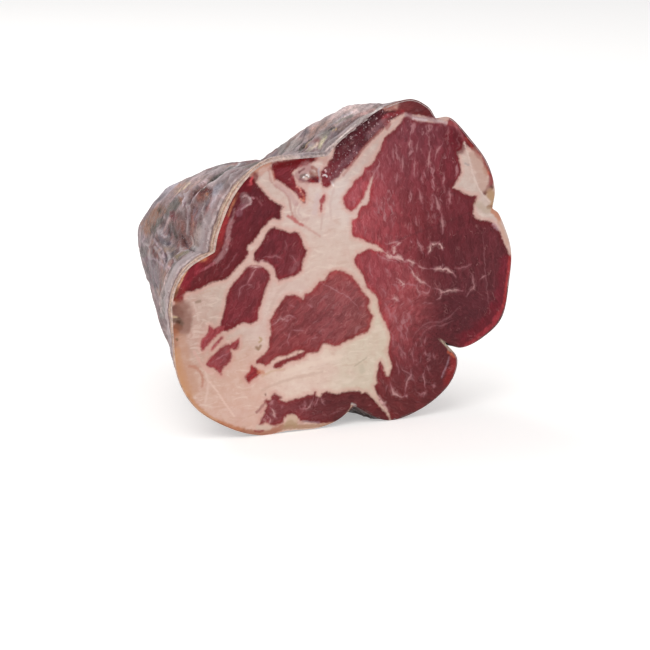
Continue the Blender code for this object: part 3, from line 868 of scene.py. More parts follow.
FAT_ISLANDS = {
    "seam across the eye": (345, 236, 355, 237, 360, 239, 365, 241, 370, 243, 376, 245, 380, 248, 383, 251,
        379, 251.5, 374, 250, 370, 248.5, 366, 250, 362, 252, 355, 254, 345, 250),
    "notch": (350, 213, 355, 209, 359, 204, 363, 198, 366, 191, 369, 184, 371.5, 178, 372.5, 179,
        370.5, 187, 369.5, 194, 368.5, 201, 366.5, 205, 362, 205.5, 359, 210, 356, 217),
    "right wedge": (463, 142, 462, 149, 457.5, 151.5, 458.5, 157, 460, 165, 461, 172, 458, 179, 454, 185,
        453, 188, 459, 190, 465, 194, 472, 196, 477, 196, 475, 202, 473, 210, 475, 217, 480, 220, 488, 221,
        494, 224, 498, 229, 501, 234, 503, 241, 507, 249, 510, 256, 524, 262, 520, 235, 512, 210, 504, 190,
        498, 176, 490, 176, 486, 170, 484, 165, 482, 158, 476, 153, 470, 148, 465, 143),
}
MUSCLE_TONES = {
    "cheek": (((255, 200), (86, 33, 40)), ((240, 235), (100, 37, 44)), ((215, 275), (94, 34, 38))),
    "bridge": (((283, 175), (100, 44, 54)), ((292, 181), (102, 50, 57)), ((283, 164), (100, 16, 26)),
               ((308, 159), (118, 24, 30)), ((300, 192), (130, 50, 50))),
    "bridge end": (((313, 180), (124, 42, 46)),),
    "small bit": (((322, 203), (154, 96, 96)),),
    "crest": (((345, 145), (70, 22, 30)), ((370, 120), (72, 24, 32)), ((330, 170), (78, 32, 42)),
              ((325, 185), (136, 56, 60))),
    "crown": (((393, 106), (140, 92, 84)), ((404, 104), (110, 40, 44)), ((414, 107), (76, 22, 28)),
              ((424, 109), (66, 20, 26))),
    "eye": (((362, 228), (150, 80, 82)), ((352, 192), (156, 88, 92)), ((385, 215), (136, 68, 72)),
            ((410, 170), (116, 58, 64)), ((440, 160), (104, 38, 46)), ((390, 145), (120, 64, 68)),
            ((415, 125), (110, 66, 74)), ((420, 140), (104, 48, 54)), ((410, 218), (106, 44, 48)),
            ((455, 238), (88, 36, 42)), ((458, 205), (100, 42, 48)), ((482, 268), (90, 42, 47)),
            ((475, 310), (82, 38, 44)), ((440, 332), (76, 30, 35)), ((394, 318), (148, 82, 82)),
            ((400, 342), (126, 60, 62)), ((420, 360), (90, 43, 47)), ((440, 385), (92, 40, 41)),
            ((398, 405), (100, 48, 47)), ((372, 270), (132, 66, 70))),
    "bottom": (((335, 405), (84, 42, 42)), ((272, 412), (128, 70, 70)), ((300, 408), (110, 58, 60)),
               ((372, 408), (92, 42, 42))),
    "middle": (((320, 320), (119, 67, 68)), ((352, 308), (127, 82, 83)), ((366, 325), (130, 71, 64)),
               ((280, 340), (119, 62, 62)), ((335, 276), (142, 79, 76)), ((300, 356), (128, 65, 64))),
    "square": (((276, 245), (89, 32, 41)), ((300, 262), (124, 61, 64)), ((285, 272), (105, 41, 48))),
    "strip": (((252, 285), (114, 58, 62)), ((235, 315), (114, 44, 50)), ((230, 290), (98, 38, 44))),
    "tail": (((213, 333), (138, 76, 78)),),
    "tail, second": (((217, 343), (146, 88, 90)),),
    "island": (((220, 358), (126, 66, 68)), ((236, 344), (138, 82, 82))),
    "islet": (((250, 374), (132, 54, 56)),),
}
FAT_TONES = (
    ("middle", (330, 240), (206, 180, 167)),
    ("band up to the crown", (360, 155), (188, 164, 156)),
    ("below the crest", (335, 200), (212, 194, 188)),
    ("left of the middle", (265, 295), (206, 178, 168)),
    ("left", (208, 305), (193, 176, 163)),
    ("dusky left", (187, 308), (178, 132, 122)),
    ("far left", (192, 338), (182, 145, 131)),
    ("low left", (205, 385), (196, 158, 141)),
    ("pink corner", (230, 400), (210, 171, 155)),
    ("low middle", (310, 370), (220, 194, 179)),
    ("low right", (360, 370), (205, 188, 168)),
    ("right wedge", (463, 185), (195, 184, 177)),
    ("right wedge, far side", (479, 172), (192, 156, 142)),
    ("upper left", (262, 185), (198, 174, 164)),
    ("right of the cheek", (295, 215), (206, 180, 170)),
)
print(len(MUSCLES), "muscles,", sum(len(points) // 2 for points, _ in MUSCLES.values()), "outline points")

# %% [markdown]
# ## Veins, stains and dried edges
# Thin lines of fat run between the bundles, and the outside of the cut has dried to
# orange and dark red. Veins are open lines with a half width in millimetres and a
# strength. Stains are brushed over both the lean and the fat. A few of them are painted
# shade and painted highlights.

# %% Veins and stains
VEINS = (
    (0.51, 0.38, (403, 113, 411, 117, 420, 119, 430, 121, 440, 121, 447, 124)),
    (0.3, 0.9, (413, 117.5, 419, 119, 426, 120)), (0.25, 0.9, (438, 121, 446, 123.5)),
    (0.45, 0.6, (366, 192, 369, 184, 372, 177, 377, 168)),
    (0.6, 0.92, (382, 250.5, 386, 253, 389, 256, 393, 257, 398, 257.5, 402, 259, 405, 261, 408, 263)),
    (0.4, 0.75, (405, 260, 409, 261, 413, 262.5, 417, 264)),
    (0.62, 0.88, (393.5, 255, 394, 251, 395, 248, 397, 245.5)),
    (0.4, 0.73, (396, 247, 398.5, 243, 402, 241.5)),
    (0.28, 0.61, (384, 243, 387, 244, 391, 242.5, 396, 242, 401, 242)),
    (0.3, 0.55, (376, 252, 382, 257, 390, 261, 398, 262)),
    (0.42, 0.34, (377, 170, 378, 174, 376, 179, 372, 183)), (0.32, 0.62, (410, 138, 409, 150)),
    (0.32, 0.57, (418, 141, 416, 152)), (0.32, 0.52, (393, 147, 394, 160)),
    (0.32, 0.57, (403, 155, 402, 172)), (0.32, 0.57, (414, 158, 415, 178)),
    (0.32, 0.62, (431, 146, 429, 158, 428, 170)), (0.32, 0.57, (443, 142, 437, 152, 435, 160)),
    (0.32, 0.52, (397, 172, 396, 184)), (0.32, 0.52, (421, 175, 423, 184)),
    (0.32, 0.52, (424, 170, 425, 178)), (0.32, 0.57, (444, 176, 443, 183)),
    (0.42, 0.56, (449, 188, 450, 198, 448, 206)), (0.32, 0.57, (418, 189, 421, 196, 422, 204)),
    (0.32, 0.57, (410, 190, 411, 198, 408, 203)), (0.32, 0.52, (393, 200, 395, 206)),
    (0.46, 0.6, (434, 195, 438, 205, 441, 213)), (0.42, 0.61, (441, 213, 443, 225, 442, 234)),
    (0.26, 0.38, (392, 215, 393, 228)), (0.26, 0.38, (415, 216, 417, 226)),
    (0.26, 0.38, (408, 222, 409, 230)), (0.3, 0.42, (381, 172, 384, 184)),
    (0.3, 0.38, (376, 195, 378, 210)), (0.3, 0.38, (373, 209, 379, 219)),
    (0.3, 0.61, (417, 264, 419, 267, 424, 268.5, 429, 269)),
    (0.42, 0.78, (430, 269, 434, 268.5, 441, 268.5, 448, 270, 453, 273, 455.5, 277)),
    (0.26, 0.55, (442.5, 263, 442.5, 268)), (0.26, 0.37, (455, 269, 463, 268, 472, 263)),
    (0.36, 0.85, (430, 243, 430, 248, 428, 254)), (0.36, 0.81, (430, 243, 434, 244.5, 439, 242)),
    (0.38, 0.85, (437.5, 243, 441, 246, 442, 251)), (0.26, 0.61, (417, 238, 418, 244, 421, 249, 424, 254)),
    (0.38, 0.74, (408, 265, 412, 271, 416, 276, 420, 281, 425, 284, 430, 287)),
    (0.38, 0.7, (434, 288, 440, 290, 443, 292, 448, 291, 456, 290, 463, 291)),
    (0.3, 0.6, (443, 292, 439, 297, 436, 300)),
    (0.34, 0.6, (472, 275, 473, 281, 474, 287, 470, 291, 466, 296)),
    (0.34, 0.56, (480, 279, 485, 276, 487, 276)),
    (0.19, 0.23, (483, 228, 484, 250, 485, 268, 486.5, 285, 488.5, 302, 490, 314)),
    (0.3, 0.27, (412, 338, 420, 328, 430, 322, 442, 321, 452, 315, 460, 306)),
    (0.3, 0.27, (420, 340, 424, 332, 432, 327, 444, 325, 454, 320)),
    (0.55, 0.51, (385, 306, 389, 312, 391, 320)), (0.5, 0.49, (393, 312, 395, 318, 398, 324)),
    (0.45, 0.44, (396, 326, 401, 332, 404, 341)), (0.45, 0.41, (390, 330, 393, 338, 394, 347)),
    (0.45, 0.39, (399, 344, 402, 352, 402, 360)), (0.45, 0.39, (406, 312, 410, 318, 412, 325)),
    (0.38, 0.74, (396, 278, 398, 279, 402, 283, 404, 285, 402, 290)), (0.68, 0.79, (402, 283, 404, 285)),
    (0.3, 0.6, (417, 283, 418, 290, 419, 295, 417, 299)),
    (0.3, 0.56, (418, 290, 424, 293, 429, 293, 430, 287)), (0.47, 0.7, (391, 300, 394, 298, 399, 302)),
    (0.38, 0.56, (385, 303, 388, 306)), (0.3, 0.51, (417, 240, 421, 248, 424, 256)),
    (0.3, 0.51, (410, 240, 413, 243)),
    (0.38, 0.7, (390, 383, 392, 388, 393, 392, 397, 395, 401, 397, 404, 396, 407, 394)),
    (0.68, 0.74, (405, 396, 407, 395)),
    (0.34, 0.6, (405, 393, 406, 387, 407, 381, 409, 377, 411, 374, 411, 369)),
    (0.3, 0.56, (421, 395, 425, 392, 424, 398)), (0.3, 0.56, (424, 371, 423, 377, 425, 383, 426, 388)),
    (0.3, 0.51, (427, 365, 430, 372)), (0.68, 0.51, (432, 385, 436, 386)),
    (0.26, 0.51, (417, 363, 417, 365)), (0.26, 0.51, (425, 351, 426, 356)),
    (0.26, 0.46, (433, 353, 435, 359)), (0.26, 0.46, (416, 342, 416, 347)),
    (0.26, 0.46, (426, 336, 424, 344)), (0.26, 0.46, (398, 342, 399, 348)),
    (0.26, 0.46, (405, 332, 408, 340)), (0.6, 0.95, (373, 392, 378, 399, 384, 405, 389, 411)),
    (0.34, 0.61, (270, 327, 273, 325, 276, 323, 278, 320, 281, 318.5, 284, 319, 286, 317, 289, 315,
        292, 316.5, 296, 319)),
    (0.64, 0.57, (287, 319, 288, 322)),
    (0.24, 0.53, (320, 282, 326, 285, 332, 288, 340, 293, 348, 297, 354, 303, 359, 309)),
    (0.26, 0.46, (290, 330, 300, 330, 305, 331)), (0.27, 0.49, (291, 330, 289, 335, 288, 341, 289, 346)),
    (0.3, 0.42, (289, 305, 296, 307)), (0.34, 0.46, (308, 304, 312, 308)),
    (0.3, 0.42, (312, 338, 318, 338)),
    (0.3, 0.57, (258, 265, 256, 269, 253, 274, 250, 278, 248, 283, 247, 285)),
    (0.24, 0.46, (247, 285, 243, 286, 240, 289, 238, 300)), (0.24, 0.42, (247, 285, 252, 285)),
    (0.65, 0.95, (246, 266, 258, 266, 262, 263, 266, 264, 269, 267, 272, 270, 273, 275, 274, 279)),
    (0.24, 0.38, (262, 258, 275, 256, 283, 259)), (0.24, 0.38, (290, 255, 297, 262)),
    (0.21, 0.3, (285, 240, 287, 250)), (0.21, 0.27, (238, 252, 230, 264, 222, 273)),
    (0.21, 0.46, (212, 362, 221, 357, 230, 352)), (0.34, 0.66, (262.5, 417, 264.5, 420, 267, 422)),
    (0.42, 0.72, (270.5, 407, 273, 411, 274, 415, 277, 419)),
    (0.36, 0.6, (268, 404, 271, 403, 274.5, 400.5)), (0.32, 0.66, (268.5, 424.5, 270, 421, 269.5, 418)),
    (0.3, 0.5, (266, 414, 268, 417, 270.5, 418)), (0.45, 0.36, (283, 404, 281.5, 408)),
    (0.38, 0.6, (299.5, 405, 301.5, 408.5, 305, 409, 309, 407.5, 311, 404, 312.5, 401, 314, 397)),
    (0.34, 0.52, (304.3, 401.5, 304.8, 405, 304, 409.5)), (0.34, 0.5, (318.5, 397, 316.5, 402, 314.5, 407)),
    (0.38, 0.6, (321, 397, 323, 402, 324.5, 405)), (0.21, 0.23, (330, 414, 342, 411)),
    (0.34, 0.5, (384, 268, 388, 272, 391, 277)), (0.3, 0.45, (369, 262, 370, 270, 373, 278)),
    (0.32, 0.5, (404, 285, 409, 284, 415, 286, 417, 283)), (0.3, 0.44, (391, 284, 396, 286, 400, 291)),
    (0.28, 0.4, (380, 286, 384, 291, 386, 297)), (0.3, 0.42, (407, 296, 411, 302, 412, 309)),
    (0.26, 0.36, (421, 305, 426, 303, 433, 304)), (0.28, 0.4, (404, 320, 406, 328, 409, 333)),
    (0.26, 0.38, (413, 347, 412, 356, 413, 364)), (0.26, 0.38, (396, 360, 398, 368, 399, 375)),
    (0.26, 0.36, (405, 352, 406, 360)), (0.24, 0.34, (421, 356, 420, 363)),
    (0.24, 0.34, (388, 384, 386, 392)),
)
STAINS = (
    ("pale strip in the cheek", (166, 116, 118), 0.85, 0.75, (231.5, 221, 229, 229, 228, 238, 226, 246,
        222, 255, 216, 261)),
    ("top of the pale strip", (150, 106, 108), 0.4, 0.6, (234.5, 209, 233, 216, 231, 222)),
    ("end of the pale strip", (168, 92, 100), 0.45, 0.6, (214, 263, 206, 268, 199, 271, 194, 273)),
    ("inner line of the cheek", (150, 84, 88), 0.3, 0.4, (256, 197, 259, 201, 262, 205)),
    ("orange rim above the cheek", (184, 124, 98), 0.8, 0.8, (252, 174, 257, 169, 263, 165.5, 270, 162.5)),
    ("salmon inside that rim", (190, 138, 124), 1.0, 0.6, (256, 176, 262, 171, 268, 168)),
    ("orange-brown rim", (164, 98, 72), 0.45, 0.8, (238, 193.5, 235.5, 199, 232.5, 205, 230, 211,
        228, 216)),
    ("bright red tip", (104, 12, 22), 1.4, 0.8, (255, 177, 251, 182, 247, 187)),
    ("pink specks in the red tip", (186, 76, 82), 0.4, 0.85, (252.5, 177, 250.5, 181, 251.5, 184,
        248, 185)),
    ("red rim, top", (96, 14, 26), 1.8, 0.75, (247, 188, 243, 193, 241, 197)),
    ("bright red rim", (146, 42, 44), 1.0, 0.85, (226, 219, 223.5, 226, 221.5, 234, 220, 241)),
    ("red rim at the fold", (132, 42, 40), 1.3, 0.8, (219, 244, 215, 252, 209, 258, 202, 263)),
    ("olive-brown at the fold", (152, 116, 80), 0.5, 0.85, (214.5, 242, 213.5, 247, 211, 251)),
    ("orange chips", (184, 114, 80), 0.8, 0.8, (200, 261, 203, 259.5, 205, 258)),
    ("crimson rim, lower", (134, 34, 46), 1.6, 0.8, (200, 266, 194, 271, 189, 277, 185, 285)),
    ("peach line on the rim", (208, 160, 128), 0.3, 0.85, (198, 258, 192, 264, 186, 271.5, 182, 279,
        179, 286, 177, 290)),
    ("red corner", (130, 44, 44), 1.5, 0.85, (181, 291, 177, 296, 180, 299)),
    ("brown-green edge", (122, 84, 60), 0.7, 0.85, (177, 290, 174, 296)),
    ("mould on the cheek", (134, 98, 100), 1.5, 0.75, (244.5, 198, 246.5, 201, 245, 204)),
    ("crust of the mould", (186, 150, 150), 0.32, 0.7, (243.5, 196.5, 246, 195.5, 249, 197.5, 251, 200.5,
        250.5, 203.5, 247.5, 205, 244.5, 207, 242, 209)),
    ("bits beside the mould", (176, 120, 126), 0.3, 0.8, (252.5, 197.5, 254, 198.5)),
    ("tail of the mould", (132, 82, 92), 1.0, 0.6, (243, 206, 240.5, 210, 238.5, 214)),
    ("orange-brown above the mould", (146, 84, 56), 0.8, 0.8, (176, 302, 177, 307)),
    ("dark brown above the mould", (92, 44, 38), 1.5, 0.9, (175, 309, 177, 312, 180, 314.5)),
    ("brown shade of the mould", (134, 92, 80), 2.8, 0.8, (182, 309, 184, 316, 184, 324, 181, 328)),
    ("brown rim, left", (154, 92, 62), 1.3, 0.9, (175.5, 328, 175, 338, 175.5, 350)),
    ("orange rim, left", (192, 136, 90), 1.4, 0.85, (177, 352, 179.5, 366, 183.5, 380, 188.5, 393)),
    ("beige inside the orange rim", (188, 142, 118), 2.2, 0.6, (180, 340, 183, 356, 187, 374, 193, 390)),
    ("orange rim, low left", (188, 132, 92), 1.0, 0.85, (188, 397, 197, 408, 207, 417, 220, 424.5)),
    ("orange rim, bottom", (178, 112, 74), 1.3, 0.9, (220, 424, 232, 429, 244, 432)),
    ("brown-pink rim, bottom", (164, 106, 82), 1.2, 0.9, (244, 432, 256, 434, 270, 432, 282, 427)),
    ("streak beside the bottom muscle", (148, 90, 86), 0.5, 0.75, (256.5, 412, 260, 408.5, 263, 405,
        265.5, 402.5)),
    ("pink between streak and muscle", (196, 136, 132), 0.5, 0.6, (260, 413, 263.5, 409, 265, 407)),
    ("whitish patch under the muscle", (206, 182, 166), 0.9, 0.8, (258, 427, 264, 427.5, 269, 427)),
    ("dark red at the very bottom", (140, 52, 50), 0.4, 0.8, (255, 430.5, 259, 431.2, 263, 430.5)),
    ("dark mould", (92, 66, 52), 1.2, 0.85, (175, 320, 180, 323)),
    ("darkest spot of the mould", (64, 36, 22), 0.45, 0.85, (177, 321.5, 178.5, 322.5)),
    ("cream spot in the mould", (188, 162, 130), 0.35, 0.85, (173.5, 317, 176.5, 317)),
    ("red-brown below the mould", (124, 76, 58), 1.1, 0.85, (176, 326, 179, 328)),
    ("tan rim of the belly", (170, 130, 104), 0.85, 0.9, (283, 427.5, 296, 426.5, 310, 426, 322, 425.7,
        334, 424.5, 346, 421.5)),
    ("purple film on the belly", (132, 98, 110), 0.35, 0.7, (302, 421.5, 310, 421.8, 319, 422.5)),
    ("olive wedge at the bottom", (168, 136, 102), 1.0, 0.8, (286, 424.5, 291, 422, 295, 425)),
    ("pink above the tan rim", (186, 138, 124), 0.6, 0.7, (298, 421.5, 303, 423)),
    ("cream top of the wedge", (198, 168, 144), 0.8, 0.8, (288, 418, 292, 416.8, 296, 419.5)),
    ("seam beside the bridge", (172, 120, 112), 0.42, 0.55, (268.5, 169, 270, 178, 273, 184, 279, 188.5,
        285, 193, 288.8, 199, 290.3, 208, 292.5, 215.5)),
    ("orange side of the seam", (176, 110, 94), 0.4, 0.6, (270, 167, 273, 174, 274, 180)),
    ("seam, lower", (190, 142, 132), 0.45, 0.6, (292.5, 215.5, 297, 221.5, 304.5, 226, 312, 231,
        319.5, 236)),
    # Painted shade: the next five marks draw the soft shading of folds in the fat as colour.
    ("painted shade of the fat fold under the bridge", (192, 156, 148), 0.5, 0.6, (297, 203, 294.5, 210, 296.5, 217,
        302, 220.5, 308, 218.5)),
    ("inner painted shade line of that fold", (196, 164, 160), 0.35, 0.55, (300, 206, 298, 212, 301, 216)),
    ("shade below the small bit", (196, 164, 154), 0.4, 0.6, (322, 213, 321.5, 221, 320.5, 229)),
    ("lilac shade beside the small bit", (200, 176, 176), 1.0, 0.5, (317.5, 196, 315.5, 206, 314, 213)),
    ("shade in the fat below the crest", (198, 168, 160), 0.5, 0.5, (334, 188, 331, 198, 330, 209,
        331, 219)),
    ("dusky fat left of the middle", (196, 164, 152), 0.6, 0.5, (286, 284, 279, 291, 274, 300, 270, 309)),
    ("shade along the low fat", (196, 162, 146), 0.5, 0.5, (262, 390, 275, 384, 290, 379, 306, 375,
        322, 372)),
    ("pale layer in the low fat", (228, 206, 190), 0.8, 0.5, (286, 372, 304, 366, 322, 361, 340, 356)),
    ("tan streaks beside the islet", (198, 162, 132), 0.4, 0.6, (262, 376, 272, 371, 284, 369)),
    ("grey crack in the low fat", (170, 152, 132), 0.25, 0.55, (354, 366, 360, 362, 367, 357)),
    ("purple skin under the bridge", (178, 128, 130), 0.9, 0.45, (276, 183, 283, 188, 290, 195, 296, 203)),
    ("pink-red bits at the corner", (176, 88, 86), 0.6, 0.8, (288, 216, 293, 219, 298, 223, 302, 225)),
    ("dark red top of the bridge", (98, 0, 8), 1.3, 0.95, (274, 166, 284, 164, 294, 162, 303, 159.5,
        315, 157)),
    ("grey-pink under the bridge", (166, 118, 118), 1.9, 0.8, (299, 175, 303, 171, 307, 168)),
    ("dark specks under the bridge", (104, 40, 46), 0.4, 0.8, (299, 172, 301, 170.5, 304, 168.5)),
    ("dark patch beside the painted glints", (96, 34, 42), 0.7, 0.85, (311, 175, 314, 178, 317, 180)),
    ("dark red under the painted glint", (112, 50, 58), 0.7, 0.8, (300, 180.5, 305, 181, 309, 181.5)),
    ("brown around the painted glint", (112, 92, 86), 0.5, 0.8, (301, 176.5, 304.5, 175, 308.5, 177)),
    # Painted highlights: the next five marks are near-white glints painted into the colour of the cut. The
    # three marks above are the darker meat around them.
    ("painted glint", (240, 232, 230), 0.22, 0.95, (303, 177.3, 303.8, 176.8)),
    ("second painted glint", (240, 232, 230), 0.26, 0.95, (306, 175, 307.6, 175.2, 308.4, 176.6)),
    ("painted glint in the crest", (226, 206, 208), 0.24, 0.9, (324.6, 170, 325.6, 171.4)),
    ("second painted glint in the crest", (232, 222, 222), 0.26, 0.95, (322.5, 175.4, 325, 175, 326.6, 176.4)),
    ("painted glint in the fat", (240, 228, 224), 0.3, 0.9, (331, 181.5, 332.5, 184, 333.5, 186)),
    ("brown-red beside the crest", (142, 78, 66), 0.7, 0.75, (312.5, 167.5, 315, 169, 317.5, 171.5)),
    ("brown between bridge and crest", (140, 84, 72), 0.7, 0.7, (310.5, 173, 314, 173.5, 317, 175)),
    ("orange specks", (178, 104, 84), 0.4, 0.7, (300, 192, 303, 195, 304.5, 199)),
    ("pale orange specks", (226, 150, 124), 0.3, 0.85, (299.5, 198, 302, 200, 304, 201)),
    ("red specks", (132, 34, 40), 0.6, 0.8, (296, 190, 299, 191, 300.5, 194, 299, 197)),
    ("pink specks at the end of the bridge", (206, 150, 138), 0.35, 0.85, (297, 186.5, 299.5, 188,
        301, 191.5)),
    ("salmon specks", (196, 150, 142), 0.9, 0.6, (298, 183, 303, 185, 307, 184)),
    ("salmon beside the crest", (188, 142, 132), 1.3, 0.75, (319, 158, 324, 157, 325, 161)),
    ("cream beside the crest", (200, 172, 148), 0.8, 0.7, (318, 152, 322, 156)),
    ("bluish line", (176, 170, 182), 0.28, 0.6, (319, 167.5, 318.4, 171, 318.8, 175, 319.5, 182)),
    ("red between crest and fat", (152, 76, 76), 1.0, 0.75, (384, 120.5, 388, 123, 387, 127)),
    ("crimson above the fat", (140, 48, 56), 0.8, 0.8, (384, 117, 390, 115, 397, 113.5, 402, 112.5)),
    ("brown above the crest", (178, 138, 126), 1.2, 0.85, (387, 107, 391, 107, 396, 105)),
    ("wine-black side of the crest", (52, 8, 16), 1.1, 0.6, (337, 146, 345, 138, 355, 129, 366, 120,
        376, 113)),
    ("purple side of the crest", (118, 74, 82), 1.3, 0.65, (332, 179, 341, 168, 350, 158, 357, 149)),
    ("purple-grey side of the crest", (126, 86, 92), 1.2, 0.7, (368, 136, 376, 129, 384, 122)),
    ("brown-pink edge of the crest", (166, 112, 106), 0.5, 0.6, (343, 175, 351, 165, 358, 155, 366, 145,
        374, 137, 382, 129)),
    # Painted shade: a faint dark line stands for the shading of a small step that the knife left across the
    # eye.
    ("painted shade of a knife step in the eye", (92, 34, 40), 0.35, 0.45, (396, 241, 410, 235.5, 428, 228.5, 450, 221,
        470, 212)),
    ("dark red under the shoulder edge", (100, 8, 18), 1.2, 0.95, (461, 126, 465, 131, 469, 138, 474, 146,
        479, 153.5)),
    ("purple-brown edge of the shoulder", (108, 66, 72), 0.35, 0.8, (462, 124, 470, 134.5, 480, 149,
        487, 159.5)),
    ("orange-red spots there", (146, 56, 46), 0.4, 0.7, (466, 138, 469, 142, 471.5, 147)),
    ("pink line at the shoulder", (150, 80, 84), 0.45, 0.8, (455, 124, 459, 130, 462, 136, 464, 141)),
    ("crimson patch", (96, 16, 28), 2.4, 0.8, (451, 136, 456, 141, 460, 147)),
    ("reddish under the crown", (152, 74, 74), 0.8, 0.6, (447, 123, 452, 123, 456, 125)),
    ("red edge of the wedge", (134, 58, 56), 0.8, 0.9, (476, 152.5, 482, 158.5, 486, 164.5, 488.5, 171)),
    ("olive brown in the wedge", (162, 114, 90), 0.9, 0.75, (484, 169, 487, 173)),
    ("orange in the wedge", (194, 100, 74), 0.5, 0.8, (488, 173, 490, 176)),
    ("red patch in the wedge", (132, 44, 50), 1.1, 0.95, (491, 176, 491, 182, 489, 187)),
    ("brown-red under it", (94, 38, 30), 0.85, 0.95, (491.5, 187, 487.5, 190, 484.5, 193)),
    ("beige-olive rim of the wedge", (170, 134, 98), 1.6, 0.9, (490, 194.5, 493.5, 200, 493, 205)),
    ("brown corner at the nick", (138, 90, 66), 0.6, 0.85, (488, 207, 492, 206.5)),
    ("orange under the nick", (184, 118, 88), 0.9, 0.85, (492, 210.5, 496, 214, 499, 219)),
    ("lilac beside it", (202, 178, 190), 0.7, 0.4, (494, 224, 498, 229)),
    ("beige-orange wedge rim", (194, 152, 132), 0.7, 0.7, (499, 222, 503, 232, 507, 244)),
    ("brown shade in the wedge", (182, 144, 130), 2.2, 0.6, (474, 155, 479, 165, 482, 176, 483, 186)),
    ("olive shade low in the wedge", (172, 152, 130), 1.3, 0.5, (478, 204, 483, 209, 488, 210)),
    ("pale line in the wedge", (216, 194, 184), 0.22, 0.75, (464, 142, 470, 163, 473, 175, 479, 189.5,
        489, 201)),
    ("grey mark in the wedge", (166, 150, 146), 0.4, 0.8, (465, 163.5, 468.5, 165)),
    ("deep crimson behind the right rim", (110, 26, 40), 2.6, 0.75, (506, 262, 504, 280, 501, 296,
        496, 308)),
    ("bright red rim, right", (154, 48, 50), 0.75, 0.9, (510.5, 258, 509, 272, 507, 287, 504.5, 301,
        500, 313)),
    ("deep crimson behind the low rim", (108, 24, 36), 2.6, 0.75, (496, 310, 487, 322, 476, 332, 464, 341)),
    ("bright red rim, low right", (150, 46, 54), 0.95, 0.85, (500, 313, 492, 325, 480, 336, 467, 346)),
    ("heel rim", (140, 40, 40), 1.7, 0.8, (454, 357, 455, 364, 451, 373, 448, 380)),
    ("mauve line in the heel", (146, 104, 112), 0.35, 0.7, (449, 357, 448, 362, 446, 367, 444, 372,
        442, 377)),
    ("heel slit", (172, 150, 132), 0.45, 0.9, (441, 340, 446, 345, 449, 349, 453, 351, 457, 353)),
    ("orange line at the slit", (186, 92, 66), 0.4, 0.8, (448, 352, 455, 357)),
    ("greenish mark in the fat", (184, 172, 152), 1.0, 0.4, (361, 367, 362, 370)),
    ("brown arc in the low fat", (178, 118, 98), 0.45, 0.7, (189, 366, 195, 367, 200, 372, 202.5, 379,
        202, 386)),
    ("pale line in the low fat", (228, 200, 186), 0.3, 0.65, (210, 382, 218, 393, 226, 405, 234, 416)),
    ("second pale line in the low fat", (222, 196, 184), 0.35, 0.5, (205, 372, 208, 381, 207, 392,
        205, 402)),
    ("pink strand in the left fat", (214, 168, 158), 0.5, 0.5, (194, 352, 199, 360, 204, 368, 212, 374)),
    ("pale line in the left fat", (214, 190, 178), 0.25, 0.5, (193, 302, 196, 311, 198, 320)),
    ("brown speck in the left fat", (142, 116, 98), 0.45, 0.8, (196, 302, 200, 301)),
    ("speck, rim left", (110, 78, 50), 0.35, 0.9, (176.5, 339, 177, 340)),
    ("speck, rim middle", (110, 78, 56), 0.35, 0.9, (180, 386, 180.5, 387)),
    ("speck, rim low", (96, 66, 42), 0.4, 0.9, (188, 398, 188.5, 399)),
    ("brown-olive specks", (140, 106, 78), 0.5, 0.8, (256, 347, 258, 349, 260, 346)),
    ("olive specks above them", (172, 140, 96), 0.35, 0.75, (259.5, 337.5, 261, 339.5, 259, 342)),
    # Painted sheen: a mauve band with a brighter line stands for the soft sheen along the seam under the
    # crown.
    ("painted mauve sheen under the crown", (150, 112, 120), 0.75, 0.7, (406, 114.5, 414, 117.5, 424, 119, 434, 120,
        445, 123.5)),
    ("bright line in the painted sheen", (200, 182, 184), 0.35, 0.85, (413, 118, 420, 119.3, 427, 120.3)),
    ("bright end of the painted sheen", (206, 190, 188), 0.4, 0.6, (438, 120.5, 447, 123)),
    ("halo beside the islet", (196, 132, 104), 0.8, 0.8, (259, 372, 263, 372.5)),
    ("brown dot", (140, 100, 88), 0.3, 0.8, (265, 394, 265.5, 395)),
    ("whitish line at the belly crease", (206, 196, 190), 0.35, 0.7, (352, 404, 356, 406)),
    ("beige line up to the crease", (178, 144, 120), 0.35, 0.8, (320, 427.5, 334, 424.5, 343, 419, 349, 411,
        352, 405.5)),
    ("beige line under the heel", (172, 142, 122), 0.28, 0.75, (354, 409, 360, 415, 368, 419.5, 379, 422.3,
        391, 422.8, 402, 420.6, 412, 417.4)),
)

SMEARY_PLACES = (
    (1.0, 13.0, (400, 165, 410, 150, 425, 160, 430, 180, 405, 190)),
    (0.8, 9.0, (372, 200, 380, 215)),
    (0.7, 7.0, (392, 320, 398, 345)),
    (0.5, 7.0, (415, 360, 410, 385)),
    (0.45, 8.0, (298, 335, 335, 305, 350, 320)),
    (0.4, 5.0, (282, 250, 290, 262)),
    (0.4, 5.0, (245, 290, 235, 312)),
)
WET_PLACES = (
    (1.6, (301, 175, 308, 176)),
    (1.6, (322, 172, 328, 176)),
    (1.3, (323, 168, 326, 171)),
    (1.3, (330, 182, 333, 185)),
    (1.5, (296, 190, 304, 200)),
    (1.2, (293, 173, 312, 159)),
)

# %% [markdown]
# ## The cut as a mesh
# A square grid is pulled out to the outline, which keeps its cells nearly even from the
# middle to the rim. At each point the signed distance to the edge of the lean is worked
# out: positive in lean, negative in fat. The shader draws the edge from that distance,
# so it stays sharp between the grid points. The surface is not flat either: fat stands
# a little above the lean, the rim is rounded over, and the crest is a rough clump.

# %% Distances on the cut
CELLS = 300
EDGE_MARGIN = 6.0

